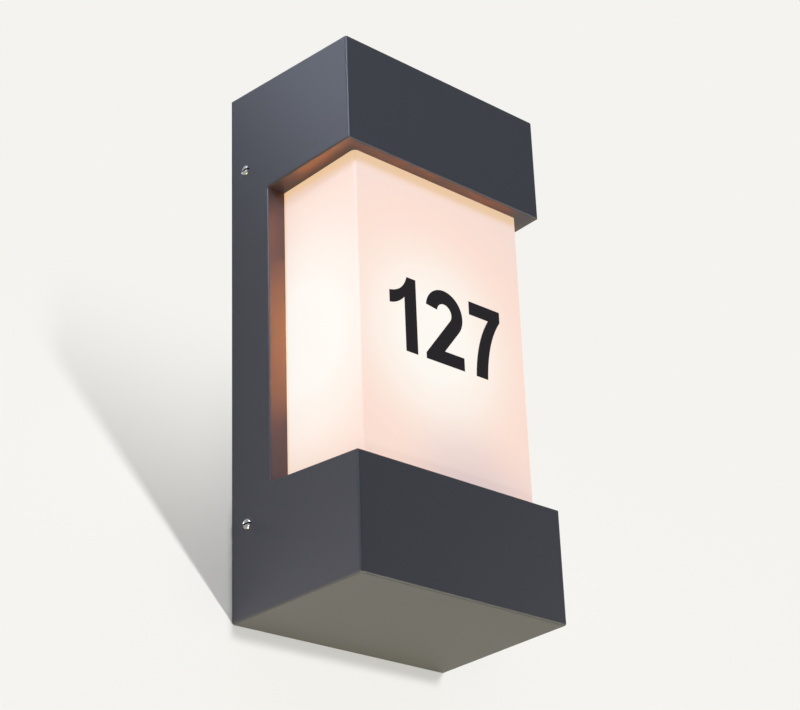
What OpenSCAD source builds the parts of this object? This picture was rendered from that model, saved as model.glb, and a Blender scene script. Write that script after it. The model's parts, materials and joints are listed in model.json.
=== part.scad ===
// Outdoor wall light: a cast C-shaped housing, an opal diffuser bent round three
// sides, and a screw-in lamp that stands on a bracket of the wall plate.
// The wall is the plane y = 0, the light stands out towards -Y and Z is up.
// The origin is the middle of the four wall screws, on the wall.
// The housing with its diffuser pulls straight off once the side screws are slack.

/* [Housing] */
// Height of the housing at the wall
housing_h = 260; // [258:1:320]
// Width of the housing at the wall
housing_w = 125; // [120:1:170]
// Depth of the housing from the wall to its front face
housing_d = 80; // [80:1:120]
// Wall thickness of the casting
housing_wall = 2.8; // [2.2:0.1:3.2]
// Draft of the outer faces, in degrees
housing_draft = 1.5; // [0.5:0.1:2]
// Radius of the outer edges
edge_r = 1.2; // [0.6:0.1:2]
// Radius of the edges along the lips of hood, base and spine
lip_r = 0.9; // [0.4:0.1:1.4]
// Depth of the spine, the low part of the housing beside the diffuser
spine_d = 25.3; // [24:0.1:30]

/* [Opening] */
// Height of the opening between hood and base, at the front
opening_h = 148.2; // [136:0.2:150]
// Draft of the hood's underside and of the base's top, in degrees
opening_draft = 2; // [0:0.1:2.5]

/* [Diffuser] */
// Distance from the housing's side to the diffuser's side
diffuser_inset = 11; // [10:0.1:13]
// Distance from the housing's front to the diffuser's front
diffuser_setback = 6.5; // [6:0.1:7]
// Thickness of the opal sheet
diffuser_t = 3; // [2:0.1:3.4]
// Outer radius of the diffuser's bent corners
diffuser_r = 2; // [1.5:0.1:5]
// Clearance between the diffuser and the cut-outs of the housing
diffuser_gap = 0.4; // [0.2:0.1:0.8]
// Height of the seals around the diffuser in hood and base
seal_h = 3; // [2:0.1:4]
// Width of the seals around the diffuser in hood and base
seal_w = 3; // [2:0.1:3.2]
// Thickness of the seals under the diffuser's side flanges
side_seal_t = 1.5; // [1:0.1:2]

/* [Clips] */
// Thickness of the clips that hold the diffuser
clip_t = 1.2; // [0.8:0.1:1.4]
// Width of a clip
clip_w = 8.6; // [8:0.1:9]
// Radius of the cast lugs that carry the clips
lug_r = 3.6; // [3.2:0.1:4]
// Length of the clip screws under the head
clip_screw_len = 8; // [6:1:14]

/* [Side screws] */
// Distance of the side screws from the ends of the housing
side_screw_from_end = 42.5; // [38:0.5:46]
// Distance of the side screws from the wall
side_screw_from_wall = 10; // [9:0.5:10]
// Diameter of the side screws
side_screw_d = 5; // [4:0.5:5]
// How far the side screws stand proud of the housing
side_screw_proud = 0.8; // [0.2:0.1:1.5]

/* [Wall plate] */
// Thickness of the steel plate
plate_t = 1.5; // [1:0.1:2]
// Thickness of the foam gasket between plate and wall
gasket_t = 1.5; // [1:0.1:2]
// Space between the plate and the housing's sides
plate_side_gap = 4.7; // [4:0.1:6]
// Space between the plate and the housing's ends
plate_end_gap = 5.2; // [4:0.1:8]
// Distance between the wall screws, sideways
wall_screw_dx = 76; // [70:1:84]
// Distance between the wall screws, upright
wall_screw_dz = 130; // [120:1:140]
// Width of the wall-screw slots
slot_w = 5.2; // [4.2:0.1:6.2]
// Length of the wall-screw slots
slot_l = 12; // [8:0.5:14]
// Diameter of the cable that the grommet takes
cable_d = 8; // [6:0.5:10]

/* [Lampholder] */
// Height of the lampholder's rim above the lower end of the housing
holder_rise = 83; // [80:0.5:88]
// Height of the porcelain body
holder_h = 45; // [43:0.5:46]
// Diameter of the porcelain body at the rim
holder_d = 43; // [36:0.5:46]
// Thickness of the lampholder bracket
bracket_t = 2; // [1.5:0.1:2.5]
// Width of the lampholder bracket
bracket_w = 28; // [24:1:29]

/* [Lamp] */
// Diameter of the lamp's globe, where the housing is deep enough for it
lamp_d = 60; // [45:1:60]
// Length of the lamp from its contact to its top
lamp_l = 108; // [100:1:112]
// Diameter of the lamp's screw cap over the thread
cap_d = 26.2; // [26:0.1:26.3]
// Clearance between the lamp and the plate behind it
lamp_gap = 4; // [3:0.5:4]

/* [Terminal block] */
// Pitch of the poles
pole_pitch = 11; // [10.5:0.5:12]
// Height of the block
block_h = 19; // [17:0.5:20]
// Depth of the block
block_d = 17; // [15:0.5:18]
// Diameter of the inner wires over their sleeve
wire_d = 2.6; // [2:0.1:2.8]

/* [Hidden] */
$fn = 64;
sides = [-1, 1];

// Overlap of a cutting tool past the face that it cuts
past = 2;
// How far a lip cutter stands off the two faces that it joins, so that it never just grazes them
edge_bite = 0.005;
// Clearance between a screw and the tapped hole that holds it
thread_fit = 0.05;
// Clearance between a screw and the plain hole that it passes
screw_fit = 0.2;
// Clearance round a screw's sunk head and round a ring on its screw
head_fit = 0.1;
// Clearance between a soft seal and the piece beside it, and the rim under it
seal_fit = 0.15;
rim_fit = 0.02;

// Housing
inner_r = 1.5;
lip_corner_gap = 0.1;
// How far the drafted blocks and the roots of bosses and webs run on past their faces
block_past = 3;
root = 1;
front_y = -housing_d;
spine_y = -spine_d;
inner_spine_y = spine_y + housing_wall;

// Diffuser
diffuser_x = housing_w / 2 - diffuser_inset;
diffuser_y = front_y + diffuser_setback;
diffuser_z = opening_h / 2 + housing_wall + seal_h;
flange_front_y = inner_spine_y + side_seal_t;
flange_back_y = flange_front_y + diffuser_t;
flange_side_gap = 1.6;
diffuser_bend_r = 0.8;
flange_x = inner_x(flange_back_y) - flange_side_gap;

// Clips and their lugs
lug_sink = 0.4;
lug_end_gap = 0.5;
lug_x = inner_x(flange_back_y) - lug_r + lug_sink;
lug_z = diffuser_z + lug_end_gap + lug_r;
lug_web_t = 3;
clip_hold = 4.6;
clip_below = diffuser_z - clip_hold;
clip_above = lug_z + lug_r;
clip_corner_r = 1.2;
clip_side_gap = 0.3;
clip_x = inner_x(flange_back_y) - clip_side_gap - clip_w / 2;
clip_screw_r = 1.5;

// Side screws
side_screw_y = -side_screw_from_wall;
side_screw_z = housing_h / 2 - side_screw_from_end;
side_boss_r = side_screw_d / 2 + 2;
side_boss_gap = 2;
side_screw_end = side_x(side_screw_y) + side_screw_proud;
side_screw_dome = 0.9;
side_screw_chamfer = 0.9;
screw_slot_w = 0.8;
screw_slot_deep = 1.6;

// Wall plate
plate_back_y = -gasket_t;
plate_y = plate_back_y - plate_t;
plate_w = housing_w - 2 * housing_wall - 2 * plate_side_gap;
plate_h = housing_h - 2 * housing_wall - 2 * plate_end_gap;
plate_r = 6;
tab_h = 26;
tab_past_screw = 1.5;
tab_y = side_screw_y - side_screw_d / 2 - tab_past_screw;
tab_bend_r = 2.5;
tab_relief = 1;
gasket_margin = 3;
gasket_gap = 0.6;
tip_gap = 0.05;

// Cable inlet
inlet_from_edge = 19;
inlet_x = -plate_w / 2 + inlet_from_edge;
inlet_z = -plate_h / 2 + inlet_from_edge;
grommet_wall = 4;
grommet_r = cable_d / 2 + grommet_wall + 2;
grommet_lip = 2;
grommet_lip_t = 1.2;
grommet_nose = 5;
grommet_nose_t = 1.2;

// Lamp
lamp_front_gap = 3.5;
lamp_room = plate_y - diffuser_y - diffuser_t - lamp_gap - lamp_front_gap;
globe_r = min(lamp_d, lamp_room) / 2;
lamp_y = plate_y - lamp_gap - globe_r;
rim_z = -housing_h / 2 + holder_rise;
cap_h = 26;
cap_sunk = 27.5;
tip_z = rim_z - cap_sunk;
globe_z = lamp_l - globe_r;
glass_t = 1;
neck_r = 12;
throat_r = 14.5;
blend_r = 40;
blend_z = globe_z - sqrt(pow(globe_r + blend_r, 2) - pow(throat_r + blend_r, 2));
cap_wall = 0.5;
cap_groove = 0.4;
cap_chamfer = 1.6;
cap_dish = 1.2;
cap_hole_r = 6.5;
skirt_r = 14.1;
skirt_h = 1;
glass_foot = 2;
contact_r = 4.5;
contact_h = 1.5;
contact_crown = 0.8;
insulator_h = 4.5;
collar_r = 6.8;
collar_step = 0.5;
collar_h = 1;
stem_r = 1.3;
turn_gap = 0.05;

// Lampholder
holder_z = rim_z - holder_h;
holder_waist_h = 18;
holder_waist_r = 17;
holder_chamfer = 4;
foot_chamfer = 1;
rim_round = 1.5;
shell_gap = 0.1;
shell_t = 0.5;
cap_play = 0.2;
shell_r = cap_d / 2 + cap_play;
shell_below_rim = 4;
socket_r = shell_r + shell_t + shell_gap;
mouth_step = 1.2;
mouth_r = socket_r + mouth_step;
contact_lift = 2.5;
floor_z = tip_z - contact_lift;
shell_hole_r = 7;
leaf_t = 0.5;
leaf_w = 5;
leaf_x = 5;
leaf_back = 3;
rivet_r = 1.5;
rivet_head_r = 2.3;
rivet_l = 7;
holder_screw_x = 8;
holder_screw_r = 2;
holder_screw_l = 8;
holder_screw_play = 1;

// Terminals on the lampholder
terminal_x = 17;
terminal_t = 4.8;
terminal_w = 8;
terminal_h = 8;
terminal_rise = 3.5;
terminal_bottom_z = holder_z + terminal_rise;
terminal_fit = 0.1;
terminal_wire_in = 3;
groove_gap = 0.5;
terminal_screw_r = 1.5;
terminal_screw_rise = 5;
terminal_screw_z = terminal_bottom_z + terminal_screw_rise;

// Lampholder bracket
shelf_z = holder_z - bracket_t;
shelf_margin = 2;
shelf_front_y = lamp_y - holder_waist_r - shelf_margin;
leg_h = 30;
bracket_bend_r = 3;
bracket_corner_r = 4.5;
bracket_hole_x = 8;
bracket_hole_rise = 20;
bracket_hole_z = shelf_z + bracket_hole_rise;
bracket_screw_r = 2;
screw_short = 0.3;
bracket_screw_l = bracket_t + plate_t - screw_short;

// Terminal block
block_x = 4;
block_from_edge = 11;
block_z = -plate_h / 2 + block_from_edge;
poles = [-1, 0, 1];
block_base_d = 6;
block_back_y = plate_y;
tube_rise = 9;
tube_y = block_back_y - tube_rise;
tube_r = 2.7;
tube_bore_r = 1.7;
tube_cover = 2;
tube_l = block_h - 2 * tube_cover;
tower_r = 4.6;
tower_foot = 5.6;
foot_step = 1;
block_margin = 0.5;
block_corner_r = 1;
pole_screw_dz = 4.6;
pole_screw_r = 1.5;
pole_screw_deep = 1;
mount_screw_r = 1.25;

// Earth point
earth_from_side = 13;
earth_from_edge = 22;
earth_x = plate_w / 2 - earth_from_side;
earth_z = -plate_h / 2 + earth_from_edge;
earth_r = 2;
lug_ring_r = 4;
lug_t = 0.8;
lug_barrel_r = 2;
lug_barrel_l = 7;
lug_neck_w = 3.2;
lug_barrel_y = plate_y - lug_t - lug_barrel_r;

// Wires inside the light, each as the points that it runs through
wire_sides = 8;
wire_steps = 2;
block_top_z = block_z + block_h / 2;
wire_in = 1.5;
wire_fit = 0.1;
wire_lift = 2;
wire_crest = 4.5;
wire_sag = 1.5;
wire_drop = 5;
lug_lead = 3;
beside_gap = 5;
beside_x = bracket_w / 2 + beside_gap;
live_route = side_route(-1);
neutral_route = side_route(1);
earth_start = pole_exit(0);
earth_end = [earth_x - lug_barrel_l - lug_lead, lug_barrel_y, earth_z];
earth_route = [
    pole_exit(0) - [0, 0, wire_in + wire_lift],
    earth_start,
    midway(earth_start, earth_end, 0.14, 0.4, block_top_z + wire_crest),
    midway(earth_start, earth_end, 0.43, 0.88, block_top_z + wire_crest - wire_sag / 3),
    midway(earth_start, earth_end, 0.79, 0.96, block_top_z + wire_crest - wire_sag),
    earth_end,
    earth_end + [lug_lead, 0, 0],
    [earth_x - lug_ring_r - wire_fit, lug_barrel_y, earth_z]
];

// Where a wire leaves the terminal block
function pole_exit(p) = [block_x + p * pole_pitch, tube_y, block_top_z + wire_lift];
// A point between a and b, by its shares of the way in X and in Y, at height z
function midway(a, b, u, v, z) = [a.x + u * (b.x - a.x), a.y + v * (b.y - a.y), z];
// From the block round the side of the bracket and up into a terminal of the lampholder
function side_route(s) = let (
    start = pole_exit(s),
    beside = [s * beside_x, lamp_y, 0],
    terminal = [s * terminal_x, lamp_y, terminal_bottom_z]
) [
    start - [0, 0, wire_in + wire_lift],
    start,
    midway(start, beside, 0.25, 0.12, block_top_z + wire_crest),
    midway(start, beside, 0.75, 0.4, block_top_z + wire_crest),
    midway(start, beside, 1, 0.72, block_top_z + wire_crest - wire_sag),
    terminal - [0, 0, wire_drop],
    terminal,
    terminal + [0, 0, terminal_wire_in]
];

// Half width and half height of the drafted housing, at depth y
function side_x(y) = housing_w / 2 + y * tan(housing_draft);
function end_z(y) = housing_h / 2 + y * tan(housing_draft);
// Half width inside the housing's walls, at depth y
function inner_x(y) = side_x(y) - housing_wall;
// Half height of the opening between hood and base, at depth y
function lip_z(y) = opening_h / 2 - (y - front_y) * tan(opening_draft);

// Smooth curve through the points of a route
function between(a, b, c, d, t) =
    b + t / 2 * (c - a + t * (2 * a - 5 * b + 4 * c - d + t * (3 * (b - c) + d - a)));
function smooth(p, n) = concat(
    [for (i = [0:len(p) - 2], k = [0:n - 1])
        between(p[max(i - 1, 0)], p[i], p[i + 1], p[min(i + 2, len(p) - 1)], k / n)],
    [p[len(p) - 1]]
);
function unit(v) = v / norm(v);
function heading(c, i) = unit(c[min(i + 1, len(c) - 1)] - c[max(i - 1, 0)]);

// A two-dimensional rectangle with round corners, exact arcs
module rounded(w, h, r) {
    square([w - 2 * r, h], center = true);
    square([w, h - 2 * r], center = true);
    for (sx = sides, sy = sides)
        translate([sx * (w / 2 - r), sy * (h / 2 - r)]) circle(r);
}

// Extrudes a drawing of the X-Z plane from depth y towards the front
module forward(y, t) {
    translate([0, y, 0]) rotate([90, 0, 0]) linear_extrude(t) children();
}

// Extrudes a drawing of the Y-Z plane sideways, to both sides of x = 0
module crosswise(w) {
    rotate([90, 0, 90]) linear_extrude(w, center = true) children();
}

// A tube of constant radius along a route
module wire(route, r, up) {
    c = smooth(route, wire_steps);
    n = wire_sides;
    last = len(c) - 1;
    rings = [for (i = [0:last], k = [0:n - 1])
        let (t = heading(c, i), u = unit(up - (up * t) * t), v = cross(t, u), a = 360 * k / n)
            c[i] + r * (cos(a) * u + sin(a) * v)];
    walls = [for (i = [0:last - 1], k = [0:n - 1])
        let (a = i * n + k, b = i * n + (k + 1) % n)
            each [[a, a + n, b], [b, a + n, b + n]]];
    ends = [[for (k = [0:n - 1]) k], [for (k = [0:n - 1]) last * n + n - 1 - k]];
    polyhedron(rings, concat(walls, ends), convexity = 6);
}

// Radius and height of the pan head on a screw of shank radius r
function pan_r(r) = 1.75 * r;
function pan_h(r) = 1.2 * r;

// A pan-head screw along Z: the head stands up from z = 0, the shank hangs below
module headed_screw(r, l) {
    head_r = pan_r(r);
    head_h = pan_h(r);
    crown = head_h / 2;
    rotate_extrude() {
        translate([0, -l]) square([r, l]);
        square([head_r, head_h - crown]);
        square([head_r - crown, head_h]);
        intersection() {
            translate([head_r - crown, head_h - crown]) circle(crown);
            square([head_r, head_h]);
        }
    }
}

// The full drafted block of the housing, drawn in by inset and set back to front
module drafted_block(front, inset, r) {
    back = 2 * block_past;
    hull() for (sx = sides, sz = sides) {
        translate([sx * (side_x(front) - inset - r), front + r, sz * (end_z(front) - inset - r)])
            rotate([90, 0, 0]) rotate_extrude($fn = 32) intersection() {
                circle(r, $fn = 32);
                translate([0, -r]) square([r, 2 * r]);
            }
        translate([sx * (side_x(back) - inset - r), back, sz * (end_z(back) - inset - r)])
            rotate([-90, 0, 0]) cylinder(r = r, h = block_past, $fn = 32);
    }
}

// The room between hood and base, grown on all sides by a wall
module opening_room(wall) {
    deep = front_y - past;
    crosswise(housing_w + 2 * past) polygon([
        [deep, -lip_z(deep) - wall], [deep, lip_z(deep) + wall],
        [spine_y + wall, lip_z(spine_y + wall) + wall],
        [spine_y + wall, -lip_z(spine_y + wall) - wall]
    ]);
}

// Cutter that rounds a convex edge, which runs along Z through the origin: the first
// face of the edge lies along +X and the second is turned from it by the corner's angle
module edge_cutter(l, r, corner = 90) {
    reach = r - edge_bite;
    slope = tan(corner / 2);
    centre = [reach / slope, reach];
    linear_extrude(l, center = true) difference() {
        polygon([
            centre, [centre.x, -past], [-past / slope, -past],
            centre + (reach + past) * [-sin(corner), cos(corner)]
        ]);
        translate(centre) circle(r);
    }
}

// Rounds the lips where the opening meets the front and the sides, and the spine's edges
module lip_cutters() {
    for (s = sides) {
        translate([0, front_y, s * lip_z(front_y)]) mirror([0, 0, s > 0 ? 0 : 1])
            rotate([0, 90, 0]) rotate(90) mirror([1, -1, 0])
                edge_cutter(housing_w, lip_r, 90 + opening_draft);
        translate([s * side_x(spine_y), spine_y, 0]) mirror([s > 0 ? 1 : 0, 0, 0])
            edge_cutter(2 * (lip_z(spine_y) - lip_corner_gap), lip_r, 90 + housing_draft);
        for (t = sides)
            translate([s * side_x(front_y), front_y, t * lip_z(front_y)])
                rotate([-t * opening_draft, 0, -s * housing_draft])
                    rotate([-90, 0, 0])
                        rotate(s > 0 ? (t > 0 ? 180 : 90) : (t > 0 ? 270 : 0))
                            translate([0, 0, (housing_d - spine_d) / 2])
                                edge_cutter(housing_d - spine_d, lip_r);
    }
}

// Outline of the diffuser seen from above, grown by g and ending at the back of its flanges
module diffuser_outline(g, r) {
    intersection() {
        rounded(2 * (diffuser_x + g), 2 * (g - diffuser_y), r);
        translate([-housing_w / 2, -housing_d]) square([housing_w, housing_d + flange_back_y]);
    }
}

module housing() {
    color("#43464c") difference() {
        union() {
            difference() {
                drafted_block(front_y, 0, edge_r);
                opening_room(0);
                difference() {
                    drafted_block(front_y + housing_wall, housing_wall, inner_r);
                    opening_room(housing_wall);
                }
            }
            for (sx = sides, sz = sides) {
                translate([sx * (plate_w / 2 + side_boss_gap), side_screw_y, sz * side_screw_z])
                    rotate([0, sx * 90, 0])
                    cylinder(r = side_boss_r, h = side_x(side_screw_y) - root - plate_w / 2 - side_boss_gap);
                translate([sx * lug_x, flange_back_y, sz * lug_z]) rotate([90, 0, 0])
                    cylinder(r = lug_r, h = flange_back_y - front_y - housing_wall / 2);
                forward(flange_back_y, flange_back_y - front_y - housing_wall / 2)
                    translate([sx * (lug_x + side_x(front_y) - root) / 2, sz * lug_z])
                        square([side_x(front_y) - root - lug_x, lug_web_t], center = true);
            }
        }
        translate([-housing_w, 0, -housing_h]) cube([2 * housing_w, housing_d, 2 * housing_h]);
        linear_extrude(2 * diffuser_z + lug_end_gap, center = true)
            diffuser_outline(diffuser_gap, diffuser_r + diffuser_gap);
        lip_cutters();
        for (sx = sides, sz = sides) {
            translate([0, side_screw_y, sz * side_screw_z]) rotate([0, sx * 90, 0])
                cylinder(d = side_screw_d + 2 * thread_fit, h = housing_w);
            translate([sx * lug_x, flange_back_y + past, sz * lug_z]) rotate([90, 0, 0])
                cylinder(r = clip_screw_r + thread_fit, h = clip_screw_len + 2 * past);
        }
    }
}

module diffuser() {
    color("#f6ead9") linear_extrude(2 * diffuser_z, center = true) {
        difference() {
            diffuser_outline(0, diffuser_r);
            diffuser_outline(-diffuser_t, max(diffuser_r - diffuser_t, diffuser_bend_r));
        }
        for (s = sides)
            translate([s * (diffuser_x - diffuser_t + flange_x) / 2, (flange_front_y + flange_back_y) / 2])
                square([flange_x - diffuser_x + diffuser_t, diffuser_t], center = true);
    }
}

// Flat strip between a side flange of the diffuser and the frame of the housing
module side_seal(s) {
    inner = diffuser_x + 2 * diffuser_gap;
    color("#d8d8d2") forward(flange_front_y, side_seal_t)
        translate([s * (inner + flange_x) / 2, 0])
            square([flange_x - inner, 2 * lip_z(spine_y)], center = true);
}
module seal_left() side_seal(-1);
module seal_right() side_seal(1);

// Strip round the diffuser on the inner side of the hood's or the base's rim
module rim_seal(s) {
    back_y = inner_spine_y - diffuser_gap;
    outer = diffuser_x + seal_w;
    color("#d8d8d2")
        translate([0, front_y, s * (opening_h / 2 + housing_wall + rim_fit)])
            rotate([-s * opening_draft, 0, 0])
                translate([0, -front_y, s * seal_h / 2])
                    linear_extrude(seal_h, center = true) difference() {
                        diffuser_outline(seal_w, diffuser_r + seal_w);
                        diffuser_outline(seal_fit, diffuser_r + seal_fit);
                        translate([-outer - past, back_y]) square([2 * (outer + past), housing_d]);
                    }
}
module seal_upper() rim_seal(1);
module seal_lower() rim_seal(-1);

// Flat clip on a lug: it presses the end of a side flange forward
module clip(sx, sz) {
    color("#b9bbb8") difference() {
        forward(flange_back_y + clip_t, clip_t)
            translate([sx * clip_x, sz * (clip_below + clip_above) / 2])
                rounded(clip_w, clip_above - clip_below, clip_corner_r);
        translate([sx * lug_x, 0, sz * lug_z]) rotate([90, 0, 0])
            cylinder(r = clip_screw_r + screw_fit, h = housing_d);
    }
}
module clip_upper_left() clip(-1, 1);
module clip_upper_right() clip(1, 1);
module clip_lower_left() clip(-1, -1);
module clip_lower_right() clip(1, -1);

module clip_screws() {
    color("#c9cacb") for (sx = sides, sz = sides)
        translate([sx * lug_x, flange_back_y + clip_t, sz * lug_z]) rotate([-90, 0, 0])
            headed_screw(clip_screw_r, clip_screw_len);
}

// Slotted set screws: the outer end is domed, the inner end bears on a plate tab
module side_screws() {
    tip = plate_w / 2 + tip_gap;
    l = side_screw_end - tip;
    r = side_screw_d / 2;
    dome = side_screw_dome;
    point = r - side_screw_chamfer;
    color("#d9dadb") for (sx = sides, sz = sides)
        translate([sx * tip, side_screw_y, sz * side_screw_z]) rotate([0, sx * 90, 0])
            difference() {
                rotate_extrude() {
                    polygon([[0, 0], [point, 0], [r, side_screw_chamfer], [r, l - dome], [0, l - dome]]);
                    translate([0, l - dome]) square([r - dome, dome]);
                    intersection() {
                        translate([r - dome, l - dome]) circle(dome);
                        translate([0, l - dome]) square([r, dome]);
                    }
                }
                translate([-screw_slot_w / 2, -r - past, l - screw_slot_deep])
                    cube([screw_slot_w, 2 * (r + past), screw_slot_deep + past]);
            }
}

// A slot with round ends, whose end circles stand apart as those of the plate do
module slot(l, r) {
    square([l - slot_w, 2 * r], center = true);
    for (s = sides) translate([s * (l - slot_w) / 2, 0]) circle(r);
}

// The slots for the wall screws, as a drawing in the X-Z plane
module wall_slots(grow) {
    for (sx = sides, sz = sides)
        translate([sx * wall_screw_dx / 2, sz * wall_screw_dz / 2])
            slot(slot_l, slot_w / 2 + grow);
}

module wall_gasket() {
    color("#26272a") forward(0, gasket_t) difference() {
        rounded(plate_w - 2 * gasket_margin, plate_h - 2 * gasket_margin, plate_r);
        wall_slots(gasket_gap);
        translate([inlet_x, inlet_z]) circle(grommet_r + grommet_lip + gasket_gap);
        for (s = sides) {
            translate([s * bracket_hole_x, bracket_hole_z]) circle(bracket_screw_r + gasket_gap);
            translate([block_x + s * pole_pitch / 2, block_z]) circle(mount_screw_r + gasket_gap);
        }
        translate([earth_x, earth_z]) circle(earth_r + gasket_gap);
    }
}

// Bent tab of the plate that a side screw bears on, seen from above
module plate_tab() {
    intersection() {
        difference() {
            translate([plate_w / 2 - tab_bend_r * 2, tab_y])
                square([tab_bend_r * 2, plate_back_y - tab_y]);
            translate([plate_w / 2 - tab_bend_r * 2 - plate_t, tab_y - past])
                square([tab_bend_r * 2, plate_y - tab_y + past]);
        }
        union() {
            translate([0, tab_y]) square([plate_w / 2, plate_back_y - tab_bend_r - tab_y]);
            translate([0, tab_y]) square([plate_w / 2 - tab_bend_r, plate_back_y - tab_y]);
            translate([plate_w / 2 - tab_bend_r, plate_back_y - tab_bend_r]) circle(tab_bend_r);
        }
    }
}

module wall_plate() {
    color("#c3c7c8") {
        forward(plate_back_y, plate_t) difference() {
            rounded(plate_w, plate_h, plate_r);
            wall_slots(0);
            translate([inlet_x, inlet_z]) circle(grommet_r);
            for (sx = sides, sz = sides)
                translate([sx * plate_w / 2, sz * side_screw_z])
                    square([4 * tab_bend_r, tab_h + 2 * tab_relief], center = true);
            for (s = sides) {
                translate([s * bracket_hole_x, bracket_hole_z]) circle(bracket_screw_r + thread_fit);
                translate([block_x + s * pole_pitch / 2, block_z]) circle(mount_screw_r + thread_fit);
            }
            translate([earth_x, earth_z]) circle(earth_r + thread_fit);
        }
        for (sx = sides, sz = sides)
            translate([0, 0, sz * side_screw_z]) mirror([sx < 0 ? 1 : 0, 0, 0])
                linear_extrude(tab_h, center = true) plate_tab();
    }
}

module cable_grommet() {
    shoulder = gasket_t + plate_t + grommet_lip_t;
    color("#2a2b2d") translate([inlet_x, 0, inlet_z]) rotate([90, 0, 0]) rotate_extrude()
        difference() {
            polygon([
                [0, gasket_t - grommet_lip_t],
                [grommet_r + grommet_lip, gasket_t - grommet_lip_t],
                [grommet_r + grommet_lip, gasket_t],
                [grommet_r - thread_fit, gasket_t],
                [grommet_r - thread_fit, gasket_t + plate_t],
                [grommet_r + grommet_lip, gasket_t + plate_t],
                [grommet_r + grommet_lip, shoulder - grommet_lip_t / 2],
                [grommet_r + grommet_lip_t, shoulder],
                [cable_d / 2 + grommet_wall, shoulder],
                [cable_d / 2 + grommet_nose_t, shoulder + grommet_nose],
                [0, shoulder + grommet_nose]
            ]);
            square([cable_d / 2, housing_d]);
        }
}

module holder_bracket() {
    reach = plate_y - shelf_front_y;
    color("#c3c7c8") difference() {
        intersection() {
            crosswise(bracket_w) difference() {
                union() {
                    translate([shelf_front_y, shelf_z + bracket_bend_r])
                        square([reach, leg_h - bracket_bend_r]);
                    translate([shelf_front_y, shelf_z]) square([reach - bracket_bend_r, leg_h]);
                    translate([plate_y - bracket_bend_r, shelf_z + bracket_bend_r]) circle(bracket_bend_r);
                }
                translate([shelf_front_y - past, shelf_z + bracket_t])
                    square([reach + past - bracket_t, leg_h]);
            }
            translate([0, plate_y, 0]) linear_extrude(housing_h, center = true)
                rounded(bracket_w, 2 * reach, bracket_corner_r);
            translate([0, 0, shelf_z + leg_h]) forward(plate_y + past, housing_d)
                rounded(bracket_w, 2 * leg_h, bracket_corner_r);
        }
        for (s = sides) {
            translate([s * bracket_hole_x, 0, bracket_hole_z]) rotate([90, 0, 0])
                cylinder(r = bracket_screw_r + screw_fit, h = -plate_y + 2 * past);
            translate([s * holder_screw_x, lamp_y, shelf_z - past])
                cylinder(r = holder_screw_r + screw_fit, h = bracket_t + 2 * past);
        }
    }
}

module bracket_screws() {
    color("#c9cacb") for (s = sides)
        translate([s * bracket_hole_x, plate_y - bracket_t, bracket_hole_z]) rotate([90, 0, 0])
            headed_screw(bracket_screw_r, bracket_screw_l);
}

module lampholder_body() {
    r = holder_d / 2;
    color("#f1efe8") translate([0, lamp_y, holder_z]) difference() {
        rotate_extrude() difference() {
            union() {
                polygon([
                    [0, 0], [holder_waist_r - foot_chamfer, 0], [holder_waist_r, foot_chamfer],
                    [holder_waist_r, holder_waist_h], [r, holder_waist_h + holder_chamfer],
                    [r, holder_h - rim_round], [0, holder_h - rim_round]
                ]);
                translate([0, holder_h - rim_round]) square([r - rim_round, rim_round]);
                intersection() {
                    translate([r - rim_round, holder_h - rim_round]) circle(rim_round);
                    square([r, holder_h]);
                }
            }
            translate([0, floor_z - holder_z]) square([socket_r, holder_h]);
            translate([0, holder_h - shell_below_rim]) square([mouth_r, holder_h]);
        }
        translate([0, 0, floor_z - holder_z - rivet_l]) cylinder(r = rivet_r + thread_fit, h = holder_h);
        for (s = sides) {
            translate([s * holder_screw_x, 0, -past])
                cylinder(r = holder_screw_r + thread_fit, h = holder_screw_l + past);
            translate([s * (terminal_x + terminal_t), 0, terminal_bottom_z - holder_z + terminal_h / 2])
                cube([3 * terminal_t + 2 * terminal_fit, terminal_w + 2 * terminal_fit,
                    terminal_h + 2 * terminal_fit], center = true);
            translate([s * (terminal_x + terminal_t), 0, 0])
                cube([2 * terminal_t + wire_d + 2 * groove_gap, wire_d + 2 * groove_gap,
                    2 * (terminal_bottom_z - holder_z) + terminal_h], center = true);
        }
    }
}

module screw_shell() {
    color("#c9a65a") translate([0, lamp_y, 0]) rotate_extrude() difference() {
        translate([0, floor_z]) square([shell_r + shell_t, rim_z - shell_below_rim - floor_z]);
        translate([0, floor_z + shell_t]) square([shell_r, holder_h]);
        translate([0, floor_z - past]) square([shell_hole_r, holder_h]);
    }
}

// Brass leaf under the lamp: riveted down at the middle, bent over and up to the contact
module centre_contact() {
    top = tip_z - tip_gap;
    color("#c9a65a") translate([0, lamp_y, 0]) {
        translate([0, leaf_w / 2, 0]) rotate([90, 0, 0]) linear_extrude(leaf_w) polygon([
            [-leaf_back, floor_z], [leaf_x, floor_z], [leaf_x + leaf_t, floor_z + leaf_t],
            [leaf_x + leaf_t, top - leaf_t], [leaf_x, top], [-leaf_back, top],
            [-leaf_back, top - leaf_t], [leaf_x - leaf_t, top - leaf_t],
            [leaf_x - leaf_t, floor_z + leaf_t], [-leaf_back, floor_z + leaf_t]
        ]);
        translate([0, 0, floor_z - rivet_l + leaf_t]) cylinder(r = rivet_r, h = rivet_l);
        translate([0, 0, floor_z + leaf_t / 2]) cylinder(r = rivet_head_r, h = 2 * leaf_t);
    }
}

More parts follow.
